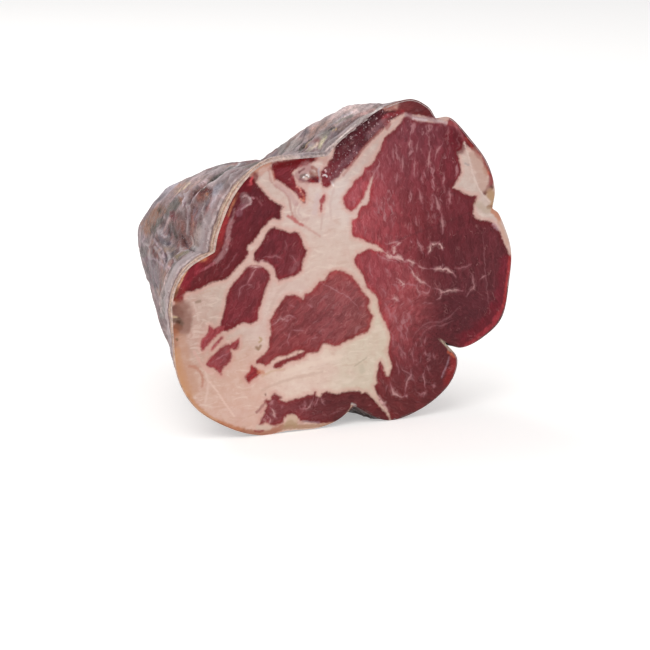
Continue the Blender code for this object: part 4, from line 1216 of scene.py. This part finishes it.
step = np.linspace(-1, 1, CELLS + 1)
grid_u, grid_v = np.meshgrid(step, step, indexing="ij")
reach = np.maximum(np.abs(grid_u), np.abs(grid_v))
wide = np.abs(grid_u) >= np.abs(grid_v)
safe_u = np.where(wide & (grid_u != 0), grid_u, 1)
safe_v = np.where(~wide & (grid_v != 0), grid_v, 1)
spoke = np.where(wide, np.pi / 4 * grid_v / safe_u, np.pi / 2 - np.pi / 4 * grid_u / safe_v)
spoke = spoke + np.pi * np.where(wide, grid_u < 0, grid_v < 0)
order = np.argsort(rim_angle)
spoke_radius = np.interp(np.degrees(spoke) % 360, rim_angle[order], rim_radius[order], period=360)
cut_x = MIDDLE[0] + SHIFT_X + (reach * spoke_radius * np.cos(spoke)).ravel()
cut_z = MIDDLE[1] + (reach * spoke_radius * np.sin(spoke)).ravel()
cut = np.stack([cut_x, cut_z], 1)
rim_line = np.concatenate([rim, rim[:1]]) + (SHIFT_X, 0)
from_rim = to_line(cut, rim_line, 3000)
print(len(cut), "points on the cut")


def inside_distance(places, outline, chunk=4000):
    """Signed distance in mm to a closed outline, positive inside, limited to a margin."""
    low, high = outline.min(0) - EDGE_MARGIN, outline.max(0) + EDGE_MARGIN
    near = np.nonzero(((places > low) & (places < high)).all(1))[0]
    result = np.full(len(places), -EDGE_MARGIN)
    a = outline
    b = np.roll(outline, -1, 0)
    rise = np.where(b[:, 1] == a[:, 1], 1e-9, b[:, 1] - a[:, 1])
    for first in range(0, len(near), chunk):
        pick = near[first:first + chunk]
        x, z = places[pick, 0:1], places[pick, 1:2]
        crossed = (a[:, 1] > z) != (b[:, 1] > z)
        to_right = x < a[:, 0] + (z - a[:, 1]) / rise * (b[:, 0] - a[:, 0])
        within = (crossed & to_right).sum(1) % 2
        edge = to_line(places[pick], np.concatenate([outline, outline[:1]]))
        result[pick] = np.clip(np.where(within, edge, -edge), -EDGE_MARGIN, EDGE_MARGIN)
    return result


def to_nearest(places, line):
    """Way from each place to the nearest point of a line, and how far along the line that is."""
    a = line[:-1]
    step = line[1:] - a
    length = np.maximum((step ** 2).sum(1), 1e-9)
    away = places[:, None] - a
    t = np.clip((away * step).sum(2) / length, 0, 1)
    offset = away - t[..., None] * step
    pick = (offset ** 2).sum(2).argmin(1)
    row = np.arange(len(places))
    begun = np.concatenate([[0], np.cumsum(np.sqrt(length))])
    share = (begun[pick] + t[row, pick] * np.sqrt(length[pick])) / begun[-1]
    return offset[row, pick], share


lean = np.full(len(cut), -EDGE_MARGIN)
muscle_of = np.zeros(len(cut), int)
grain_turn = np.zeros(len(cut))
for index, (points, direction) in enumerate(MUSCLES.values()):
    inside = inside_distance(cut, on_cut(curve(points, 2, closed=True)))
    closer = inside > lean
    muscle_of[closer] = index
    grain_turn[closer] = math.radians(direction)
    lean = np.maximum(lean, inside)
for points in FAT_ISLANDS.values():
    lean = np.minimum(lean, -inside_distance(cut, on_cut(curve(points, 2, closed=True))))
print("share of lean in the cut:", round(float((lean > 0).mean()), 2))

cut_space = np.stack([cut_x, np.zeros(len(cut)), cut_z], 1)
NO_VEIN = 9.0
vein_offset = np.full((len(cut), 2), NO_VEIN)
vein_far = np.full(len(cut), NO_VEIN)
vein_width = np.full(len(cut), 0.2)
vein_strength = np.zeros(len(cut))
wander = 0.42 * np.stack([noise(cut_space, 1.8, seed) for seed in (51, 52)], 1)
for half_width, strength, points in VEINS:
    line = on_cut(curve(points, 3))
    near = np.nonzero(((cut > line.min(0) - 3) & (cut < line.max(0) + 3)).all(1))[0]
    offset, share = to_nearest(cut[near] + wander[near], line)
    far = np.linalg.norm(offset, axis=1)
    best = far < vein_far[near]
    pick = near[best]
    vein_offset[pick] = offset[best]
    vein_far[pick] = far[best]
    taper = ramp(np.minimum(share, 1 - share)[best], -0.05, 0.35)
    vein_width[pick] = half_width * (0.4 + 0.6 * taper)
    vein_strength[pick] = strength * (0.45 + 0.55 * taper)
vein_relief = vein_strength * (1 - ramp(vein_far, 0.2, 0.8))

# %% Tones on the cut
TONE_REACH = 6.5
GLAZE = np.array([1.15, 0.82, 0.89])


def blended(spots):
    """Tone at every place of the cut: the nearer a named spot, the more it counts."""
    total = np.zeros((len(cut), 3))
    weight = np.zeros(len(cut))
    for place, tone in spots:
        share = np.exp(-(((cut - on_cut([place])) ** 2).sum(1)) / (2 * TONE_REACH ** 2)) + 1e-9
        total += share[:, None] * paint(tone)
        weight += share
    return total / weight[:, None]


lean_tone = np.zeros((len(cut), 3))
for index, name in enumerate(MUSCLES):
    own = muscle_of == index
    lean_tone[own] = blended(MUSCLE_TONES[name])[own] * GLAZE
fat_tone = blended([(place, tone) for _, place, tone in FAT_TONES])
stained = np.zeros(len(cut))
for _, tone, half_width, strength, points in STAINS:
    away = to_line(cut, on_cut(curve(points, 3))) + 0.32 * half_width * noise(cut_space, 2.0, 52)
    away += (0.08 + 0.24 * min(half_width, 1.2)) * noise(cut_space, 0.9, 54)
    share = strength * (1 - ramp(away / half_width, 0.45, 1.35))
    stained = np.maximum(stained, share)
    lean_tone = brush(lean_tone, share, tone)
    fat_tone = brush(fat_tone, share, tone)
print("mean lean tone", lean_tone[lean > 0].mean(0).round(3))
print("mean fat tone", fat_tone[lean < 0].mean(0).round(3))

# %% Surface of the cut
FAT_PROUD = 0.18
VEIN_PROUD = 0.08
SWELL = 0.10
FIBRE_RELIEF = 0.05
FINE_RELIEF = 0.03
RIM_ROUND = 0.45
RIM_ROUND_RUN = 0.45
HEEL = (441, 340)
HEEL_HEIGHT = 14
HEEL_TURN = 0.35
crest_share = ramp((muscle_of == list(MUSCLES).index("crest")) * np.clip(lean + 0.8, 0, 2), 0.0, 1.2)
along = cut_x * np.cos(grain_turn) + cut_z * np.sin(grain_turn)
across = cut_z * np.cos(grain_turn) - cut_x * np.sin(grain_turn)
heel = on_cut(HEEL)[0]
from_heel = cut - heel
heel_share = (muscle_of == list(MUSCLES).index("eye")) & (cut_z < heel[1] + HEEL_HEIGHT)
heel_far = np.linalg.norm(from_heel, axis=1)
heel_angle = np.degrees(np.arctan2(from_heel[:, 1], from_heel[:, 0])) % 360
along = np.where(heel_share, heel_angle * HEEL_TURN, along)
across = np.where(heel_share, heel_far, across)
grain = np.stack([across, np.full(len(cut), 3.0), along], 1)

smeary = np.zeros(len(cut))
for strength, half_width, points in SMEARY_PLACES:
    smeary = np.maximum(smeary, strength * (1 - ramp(to_line(cut, on_cut(points)) / half_width, 0.5, 1.3)))
smeary *= ramp(lean, 0.2, 1.2)
fibre_height = noise(grain * (1.0, 1.0, 0.35), 1.3, 62)
proud = FAT_PROUD * (1 - ramp(lean, -0.5, 0.5)) + VEIN_PROUD * vein_relief
proud += SWELL * noise(cut_space, 6.0, 61) + FIBRE_RELIEF * fibre_height * ramp(lean, -0.2, 0.4)
proud += FINE_RELIEF * noise(cut_space, 1.1, 63)
wet = 0.35 * crest_share
for half_width, points in WET_PLACES:
    wet = np.maximum(wet, 1 - ramp(to_line(cut, on_cut(points)) / half_width, 0.4, 1.2))
clump = noise(cut_space, 2.6, 64) + 0.5 * noise(cut_space, 1.2, 65)
proud += crest_share * (0.20 + 0.34 * clump)
proud *= ramp(from_rim, 0.0, 0.6)
proud -= RIM_ROUND * np.exp(-(from_rim / RIM_ROUND_RUN) ** 1.3)
cut_places = np.stack([cut_x, CUT_Y - proud, np.maximum(cut_z, 0.02)], 1)
numbers = np.arange(len(cut)).reshape(CELLS + 1, CELLS + 1)
cut_faces = np.stack([numbers[:-1, :-1], numbers[1:, :-1], numbers[1:, 1:], numbers[:-1, 1:]], 2)
cut_faces = cut_faces.reshape(-1, 4)
cut_face = mesh_piece("cut_face", cut_places, cut_faces.tolist())
carry(cut_face, "vein_way", np.concatenate([vein_offset, vein_width[:, None]], 1), "FLOAT_VECTOR")
for name, values in {"lean": lean, "vein_far": vein_far, "vein_strength": vein_strength, "wet": wet,
                     "crest": crest_share, "stained": stained, "smeary": smeary}.items():
    carry(cut_face, name, values)
carry(cut_face, "lean_tone", lean_tone, "FLOAT_COLOR")
carry(cut_face, "fat_tone", fat_tone, "FLOAT_COLOR")
carry(cut_face, "grain", grain, "FLOAT_VECTOR")
print("cut face:", len(cut_faces) * 2, "triangles, y from", cut_places[:, 1].min().round(2), "mm")

# %% [markdown]
# ## Shader helpers
# Nodes are wired by a few small functions. Effects that both materials use are node
# groups: `Mottle` gives a soft mask of patches, `Fine relief` gives a height for the
# Bump node, and `Threads` gives thin wandering lines. A group only puts out values that
# change over the surface; the shader itself, and every number that is the same all over,
# stays in the material.

# %% Node helpers


def add(tree, kind, settings=None, inputs=None):
    """A shader node with its settings and inputs; an input may be a value or a socket."""
    made = tree.nodes.new("ShaderNode" + kind)
    for name, value in (settings or {}).items():
        setattr(made, name, value)
    for name, value in (inputs or {}).items():
        if isinstance(value, bpy.types.NodeSocket):
            tree.links.new(value, made.inputs[name])
        else:
            made.inputs[name].default_value = value
    return made


def maths(tree, operation, a, b=0.0):
    """Result of a Math node."""
    return add(tree, "Math", {"operation": operation}, {0: a, 1: b}).outputs[0]


def stretch(tree, value, low, high, to_low=0.0, to_high=1.0):
    """A value moved smoothly from one range to another, and kept in it."""
    settings = {"interpolation_type": "SMOOTHSTEP"}
    inputs = {"Value": value, "From Min": low, "From Max": high, "To Min": to_low, "To Max": to_high}
    return add(tree, "MapRange", settings, inputs).outputs[0]


def times(tree, *values):
    """Product of values and sockets."""
    result = values[0]
    for value in values[1:]:
        result = maths(tree, "MULTIPLY", result, value)
    return result


def mix(tree, share, a, b, blend="MIX"):
    """Two colours mixed."""
    settings = {"data_type": "RGBA", "blend_type": blend}
    return add(tree, "Mix", settings, {0: share, 6: a, 7: b}).outputs[2]


def colour(values):
    """A socket colour from screen values."""
    return (*paint(values).tolist(), 1.0)


def over(tree, below, tone, *shares):
    """A colour laid over another, as strongly as the product of the shares says."""
    return mix(tree, times(tree, *shares), below, colour(tone))


def shaded(tree, below, gains):
    """A colour times one factor each for red, green and blue."""
    factor = add(tree, "CombineColor", None, dict(enumerate(gains))).outputs[0]
    return mix(tree, 1.0, below, factor, "MULTIPLY")


def cloud(tree, at, scale, detail, roughness=0.5, distortion=0.0):
    """Smooth noise of about 0 to 1."""
    inputs = {"Vector": at, "Scale": scale, "Detail": detail, "Roughness": roughness}
    return add(tree, "TexNoise", None, {**inputs, "Distortion": distortion}).outputs[0]


def squeezed(tree, at, scale):
    """Places with their axes scaled, which draws out what is made there."""
    return add(tree, "Mapping", None, {"Vector": at, "Scale": scale}).outputs[0]


def attribute(tree, name, output):
    """A value that travels with the mesh."""
    return add(tree, "Attribute", {"attribute_type": "GEOMETRY", "attribute_name": name}).outputs[output]


def new_group(name, ins, outs):
    """An empty node group with named sockets."""
    group = bpy.data.node_groups.new(name, "ShaderNodeTree")
    for label, kind, value in ins:
        socket = group.interface.new_socket(label, in_out="INPUT", socket_type="NodeSocket" + kind)
        if value is not None:
            socket.default_value = value
    for label, kind in outs:
        group.interface.new_socket(label, in_out="OUTPUT", socket_type="NodeSocket" + kind)
    return group, group.nodes.new("NodeGroupInput").outputs, group.nodes.new("NodeGroupOutput").inputs


def place(tree, group, inputs):
    """A group placed in a material."""
    return add(tree, "Group", {"node_tree": group}, inputs).outputs


def in_units(tree, given, unit):
    """Places in mm, divided by the size that the group's input gives."""
    inputs = {0: given["Place in mm"], "Scale": maths(tree, "DIVIDE", 1.0, given[unit])}
    return add(tree, "VectorMath", {"operation": "SCALE"}, inputs).outputs[0]


def new_material(name, specular):
    """A material, its tree and shader, and the place of each point in mm."""
    made = bpy.data.materials.new(name)
    made.use_nodes = True
    tree = made.node_tree
    shader = tree.nodes["Principled BSDF"]
    shader.inputs["Specular IOR Level"].default_value = specular
    where = add(tree, "TexCoord").outputs["Object"]
    in_mm = add(tree, "VectorMath", {"operation": "SCALE"}, {0: where, "Scale": 1 / MM}).outputs[0]
    return made, tree, shader, in_mm


# %% Shared groups
mottle, given, gives = new_group(
    "Mottle",
    (("Place in mm", "Vector", None), ("Patch size in mm", "Float", 4.0), ("Low", "Float", 0.4),
     ("High", "Float", 0.6)),
    (("Mask", "Float"),))
level = cloud(mottle, in_units(mottle, given, "Patch size in mm"), 1.0, 4.0, 0.6)
mottle.links.new(stretch(mottle, level, given["Low"], given["High"]), gives["Mask"])

fine_relief, given, gives = new_group(
    "Fine relief",
    (("Place in mm", "Vector", None), ("Grain size in mm", "Float", 0.5), ("Pore size in mm", "Float", 0.25)),
    (("Height", "Float"),))
total = None
for unit, share in (("Grain size in mm", 0.65), ("Pore size in mm", 0.35)):
    part = times(fine_relief, cloud(fine_relief, in_units(fine_relief, given, unit), 1.0, 2.0), share)
    total = part if total is None else maths(fine_relief, "ADD", total, part)
fine_relief.links.new(total, gives["Height"])

threads, given, gives = new_group(
    "Threads",
    (("Place in mm", "Vector", None), ("Spacing in mm", "Float", 4.0), ("Width", "Float", 0.02)),
    (("Mask", "Float"),))
level = cloud(threads, in_units(threads, given, "Spacing in mm"), 1.0, 3.0, 0.55, 0.4)
off_level = maths(threads, "ABSOLUTE", maths(threads, "SUBTRACT", level, 0.5))
threads.links.new(stretch(threads, off_level, 0.0, given["Width"], 1.0, 0.0), gives["Mask"])


def patches(tree, at, size, low, high):
    """Mask of soft patches of a size in mm; closer limits make harder edges."""
    inputs = {"Place in mm": at, "Patch size in mm": size, "Low": low, "High": high}
    return place(tree, mottle, inputs)["Mask"]


def lines(tree, at, spacing, width):
    """Mask of thin wandering lines with a spacing in mm."""
    return place(tree, threads, {"Place in mm": at, "Spacing in mm": spacing, "Width": width})["Mask"]


def fine_height(tree, at, grain, pore):
    """Height of grains and pores with two sizes in mm."""
    inputs = {"Place in mm": at, "Grain size in mm": grain, "Pore size in mm": pore}
    return place(tree, fine_relief, inputs)["Height"]


def bumpy(tree, height, depth):
    """A normal from a height, for relief finer than the mesh."""
    return add(tree, "Bump", None, {"Height": height, "Strength": 0.35, "Distance": depth}).outputs[0]


print("node groups:", [group.name for group in bpy.data.node_groups])

# %% [markdown]
# ## Finish of the lean
# Lean is moist and dense. Its fibres show as short pale and dark streaks, so noise is
# drawn out along the direction in which each muscle's fibres run. The border to the fat
# is ragged, so a little noise is added to the distance before it becomes a mask. A vein
# is pale in the middle of its line and fades to a halo, and it comes and goes a little.

# %% Lean of the cut
DRY_LEAN, VEIN_DIM, VEIN_BRIGHT = (178, 124, 128), (178, 118, 124), (206, 162, 158)
WISP, CRUMB = (200, 140, 138), (206, 172, 174)
# How much pale fibres, flecks, dark fibres, the dried edge and hairs change red, green and blue.
LEAN_GAINS = ((0.15, 0.14, 0.14, 0.0, 0.09), (0.36, 0.42, 0.24, 0.26, 0.22), (0.34, 0.40, 0.22, 0.27, 0.20))
RAGGED = 1.25

cut_meat, tree, shader, in_mm = new_material("cut_meat", 0.15)
shader.inputs["Coat Roughness"].default_value = 0.18
fibre = attribute(tree, "grain", "Vector")
rough_crest = attribute(tree, "crest", "Fac")
ragged = times(tree, maths(tree, "SUBTRACT", cloud(tree, in_mm, 0.8, 4.0, 0.62), 0.5), RAGGED)
edge = maths(tree, "ADD", attribute(tree, "lean", "Fac"), ragged)
lean_mask = stretch(tree, edge, -0.50, 0.45)
deep = stretch(tree, edge, 0.2, 2.2)

warp = add(tree, "TexNoise", None, {"Vector": in_mm, "Scale": 0.35, "Detail": 2.0}).outputs["Color"]
warp = add(tree, "VectorMath", {"operation": "SCALE"}, {0: warp, "Scale": 3.0}).outputs[0]
bent_fibre = add(tree, "VectorMath", {"operation": "ADD"}, {0: fibre, 1: warp}).outputs[0]
long_fibre = squeezed(tree, bent_fibre, (1.0, 1.0, 0.36))
fibres = cloud(tree, squeezed(tree, bent_fibre, (1.0, 1.0, 0.20)), 1.15, 2.0)
hairs = cloud(tree, squeezed(tree, bent_fibre, (1.0, 1.0, 0.14)), 2.4, 2.0)
bundle = add(tree, "TexVoronoi", {"feature": "SMOOTH_F1"},
             {"Vector": long_fibre, "Scale": 0.75, "Randomness": 1.0, "Smoothness": 0.5}).outputs["Color"]
bundle = add(tree, "SeparateColor", None, {0: bundle}).outputs[0]
lean_colour = attribute(tree, "lean_tone", "Color")
own_red = add(tree, "SeparateColor", None, {0: lean_colour}).outputs[0]
grainy = stretch(tree, own_red, 0.09, 0.22, 0.30, 1.0)
pale_fibre = times(tree, stretch(tree, fibres, 0.53, 0.70), grainy)
dark_fibre = stretch(tree, fibres, 0.46, 0.30)
fleck = times(tree, stretch(tree, cloud(tree, long_fibre, 0.62, 5.0, 0.66), 0.50, 0.78), grainy)
shade = stretch(tree, bundle, 0.1, 0.9, 0.86, 1.12)
gains = []
for pale_gain, fleck_gain, dark_loss, edge_loss, hair in LEAN_GAINS:
    gains.append(times(
        tree,
        stretch(tree, pale_fibre, 0.0, 1.0, 1.0, 1.0 + pale_gain),
        stretch(tree, fleck, 0.0, 1.0, 1.0, 1.0 + fleck_gain),
        stretch(tree, dark_fibre, 0.0, 1.0, 1.0, 1.0 - dark_loss),
        stretch(tree, deep, 0.0, 1.0, 1.0 - edge_loss, 1.0),
        stretch(tree, hairs, 0.34, 0.68, 1.0 - hair, 1.0 + hair),
        shade))
lean_colour = shaded(tree, lean_colour, gains)
smear = stretch(tree, cloud(tree, squeezed(tree, bent_fibre, (1.0, 1.0, 0.22)), 0.55, 3.0, 0.55), 0.56, 0.74)
smeary_share = stretch(tree, attribute(tree, "smeary", "Fac"), 0.0, 1.0, 0.0, 0.75)
lean_colour = over(tree, lean_colour, DRY_LEAN, smear, smeary_share)
wisp = lines(tree, long_fibre, 3.4, 0.022)
lean_colour = over(tree, lean_colour, WISP, wisp, patches(tree, in_mm, 3.2, 0.46, 0.66), 0.22)

way = add(tree, "SeparateXYZ", None, {0: attribute(tree, "vein_way", "Vector")}).outputs
from_vein = maths(tree, "SQRT", maths(tree, "ADD", times(tree, way[0], way[0]), times(tree, way[1], way[1])))
vein_half = times(tree, way[2], stretch(tree, cloud(tree, in_mm, 0.9, 3.0), 0.3, 0.7, 0.45, 1.5))
half_widths = maths(tree, "DIVIDE", from_vein, vein_half)
halo = stretch(tree, half_widths, 0.6, 3.4, 0.30, 0.0)
streaks = maths(tree, "MAXIMUM", stretch(tree, half_widths, 0.15, 1.5, 1.0, 0.0), halo)
vein_reach = stretch(tree, attribute(tree, "vein_far", "Fac"), 0.9, 1.3, 1.0, 0.0)
strength = attribute(tree, "vein_strength", "Fac")
broken = stretch(tree, patches(tree, in_mm, 1.5, 0.30, 0.55), 0.0, 1.0, 0.5, 1.0)
streak_share = times(tree, streaks, vein_reach, strength, broken)
vein_colour = mix(tree, stretch(tree, strength, 0.45, 0.80), colour(VEIN_DIM), colour(VEIN_BRIGHT))
lean_colour = mix(tree, streak_share, lean_colour, vein_colour)
lean_colour = over(tree, lean_colour, CRUMB, patches(tree, in_mm, 0.75, 0.60, 0.67), rough_crest, 0.65)

# %% [markdown]
# ## Finish of the fat
# Fat is waxy and lies in thin layers that lean a little. Some places blush pink, and a
# pink fringe runs along the lean, where the colour of the meat has bled into the fat.
# Where a stain lies, the shader's own patches hold back, so they don't hide it.

# %% Fat of the cut
BLUSH, WAX, PALE_LAYER = (204, 160, 150), (236, 222, 210), (232, 214, 200)
DARK_LAYER, FRINGE = (190, 150, 130), (206, 152, 140)
LAYERS_LEAN = math.radians(24.0)

clean = stretch(tree, attribute(tree, "stained", "Fac"), 0.0, 0.8, 1.0, 0.15)
fat_colour = attribute(tree, "fat_tone", "Color")
fat_colour = over(tree, fat_colour, BLUSH, patches(tree, in_mm, 5.0, 0.42, 0.70), 0.28, clean)
fat_colour = over(tree, fat_colour, WAX, patches(tree, in_mm, 2.2, 0.35, 0.7), 0.16, clean)
layered = add(tree, "Mapping", None,
              {"Vector": in_mm, "Rotation": (0.0, LAYERS_LEAN, 0.0), "Scale": (0.36, 1.0, 1.0)}).outputs[0]
layered = cloud(tree, layered, 0.62, 4.0, 0.6, 0.9)
fat_colour = over(tree, fat_colour, PALE_LAYER, stretch(tree, layered, 0.52, 0.70), 0.34, clean)
fat_colour = over(tree, fat_colour, DARK_LAYER, stretch(tree, layered, 0.47, 0.31), 0.28, clean)
fat_colour = over(tree, fat_colour, FRINGE, stretch(tree, edge, -1.8, -0.2), 0.50, clean)
tree.links.new(mix(tree, lean_mask, fat_colour, lean_colour), shader.inputs["Base Color"])

# %% [markdown]
# ## Gloss of the cut
# The cut has a satin sheen that is glossier where it is damp. In the hollow and on the
# crest it is really wet, which a thin clear coat gives in small glints. Fine relief
# along the fibres breaks up the reflections.

# %% Gloss of the cut
rough = stretch(tree, patches(tree, in_mm, 3.0, 0.35, 0.65), 0.0, 1.0, 0.36, 0.52)
rough = maths(tree, "SUBTRACT", rough, times(tree, rough_crest, 0.14))
tree.links.new(rough, shader.inputs["Roughness"])
glint = patches(tree, in_mm, 1.1, 0.45, 0.60)
tree.links.new(times(tree, attribute(tree, "wet", "Fac"), glint), shader.inputs["Coat Weight"])
tree.links.new(bumpy(tree, fine_height(tree, fibre, 0.7, 0.3), 0.00025), shader.inputs["Normal"])
cut_face.data.materials.append(cut_meat)
print("cut material:", len(tree.nodes), "nodes")

# %% [markdown]
# ## Finish of the casing
# The tones and the pale creases travel with the mesh. The shader adds what is smaller
# than the grid: grit, a pale bloom, specks of salt and of the meat below, a fine pale
# net and a dry, uneven sheen.

# %% Casing material
SALT = (206, 196, 194)

dry_casing, tree, shader, in_mm = new_material("casing", 0.22)
crease = attribute(tree, "pale", "Fac")
blotch = patches(tree, in_mm, 2.0, 0.35, 0.65)
grit = patches(tree, in_mm, 0.8, 0.35, 0.65)
shade = times(tree, stretch(tree, blotch, 0.0, 1.0, 0.88, 1.10), stretch(tree, grit, 0.0, 1.0, 0.80, 1.19))
base = shaded(tree, attribute(tree, "tone", "Color"), (shade, shade, shade))
hooped = squeezed(tree, in_mm, (1.0, 1.6, 1.0))
bloom = patches(tree, in_mm, 1.4, 0.50, 0.76)
worn = patches(tree, in_mm, 6.0, 0.38, 0.58)
net = maths(tree, "MAXIMUM", times(tree, lines(tree, hooped, 8.0, 0.024), 0.22),
            times(tree, lines(tree, hooped, 4.0, 0.026), worn, 0.26))
pale_share = maths(tree, "MAXIMUM", times(tree, crease, 0.85), times(tree, bloom, 0.12))
base = over(tree, base, PALE_CREASE, maths(tree, "MAXIMUM", pale_share, net))
base = over(tree, base, MEAT_BELOW, patches(tree, in_mm, 0.9, 0.60, 0.68), 0.42)
base = over(tree, base, SALT, patches(tree, hooped, 0.7, 0.63, 0.70), 0.50)
tree.links.new(base, shader.inputs["Base Color"])
tree.links.new(stretch(tree, blotch, 0.0, 1.0, 0.42, 0.62), shader.inputs["Roughness"])
height = maths(tree, "ADD", fine_height(tree, in_mm, 0.9, 0.35), times(tree, net, 0.6))
tree.links.new(bumpy(tree, height, 0.0003), shader.inputs["Normal"])
casing.data.materials.append(dry_casing)
print("casing material:", len(tree.nodes), "nodes")

# %% [markdown]
# ## Floor and light
# The piece lies on a plain pale floor. One large lamp above and to the left of the
# camera gives the soft gloss on the cut, a second one on the right opens the shadows,
# and a pale sky fills in the rest. The colours are shown as they are, without a film
# look.

# %% Floor and light
FLOOR_SIZE = 3.0
floor_mesh = bpy.data.meshes.new("floor")
half = FLOOR_SIZE / 2
corners = [(-half, -half, 0), (half, -half, 0), (half, half, 0), (-half, half, 0)]
floor_mesh.from_pydata(corners, [], [(0, 1, 2, 3)])
floor = bpy.data.objects.new("floor", floor_mesh)
bpy.context.scene.collection.objects.link(floor)
floor_paint = bpy.data.materials.new("floor_paint")
floor_paint.use_nodes = True
floor_shader = floor_paint.node_tree.nodes["Principled BSDF"]
floor_shader.inputs["Base Color"].default_value = colour((238, 235, 231))
floor_shader.inputs["Roughness"].default_value = 0.8
floor_shader.inputs["Specular IOR Level"].default_value = 0.1
floor_shader.inputs["Emission Color"].default_value = (1.0, 1.0, 1.0, 1.0)
floor_shader.inputs["Emission Strength"].default_value = 0.38
floor_mesh.materials.append(floor_paint)


def soft_lamp(name, at, size, watts):
    """A square area lamp in metres that points at the middle of the piece."""
    data = bpy.data.lights.new(name, "AREA")
    data.shape = "SQUARE"
    data.size = size
    data.energy = watts
    lamp = bpy.data.objects.new(name, data)
    lamp.location = at
    lamp.rotation_mode = "QUATERNION"
    lamp.rotation_quaternion = (Vector((0, 0, 0.05)) - Vector(at)).to_track_quat("-Z", "Y")
    bpy.context.scene.collection.objects.link(lamp)


soft_lamp("key", (-0.70, -0.85, 1.15), 0.9, 8.1)
soft_lamp("fill", (0.95, -0.75, 0.60), 1.0, 3.6)
soft_lamp("back", (-0.3, 0.9, 1.0), 0.9, 6.5)
world = bpy.data.worlds.new("pale sky")
world.use_nodes = True
world.node_tree.nodes["Background"].inputs["Color"].default_value = colour((245, 246, 250))
world.node_tree.nodes["Background"].inputs["Strength"].default_value = 0.50
bpy.context.scene.world = world
bpy.context.scene.view_settings.view_transform = "Standard"

# %% [markdown]
# ## Join the pieces to the model
# The two meshes stand for the one solid of the CAD model, which is hidden, and ride on
# its only body.

# %% Finish
for piece, slot in ((cut_face, "cut_meat"), (casing, "casing")):
    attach(piece, "root")
    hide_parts("coppa")
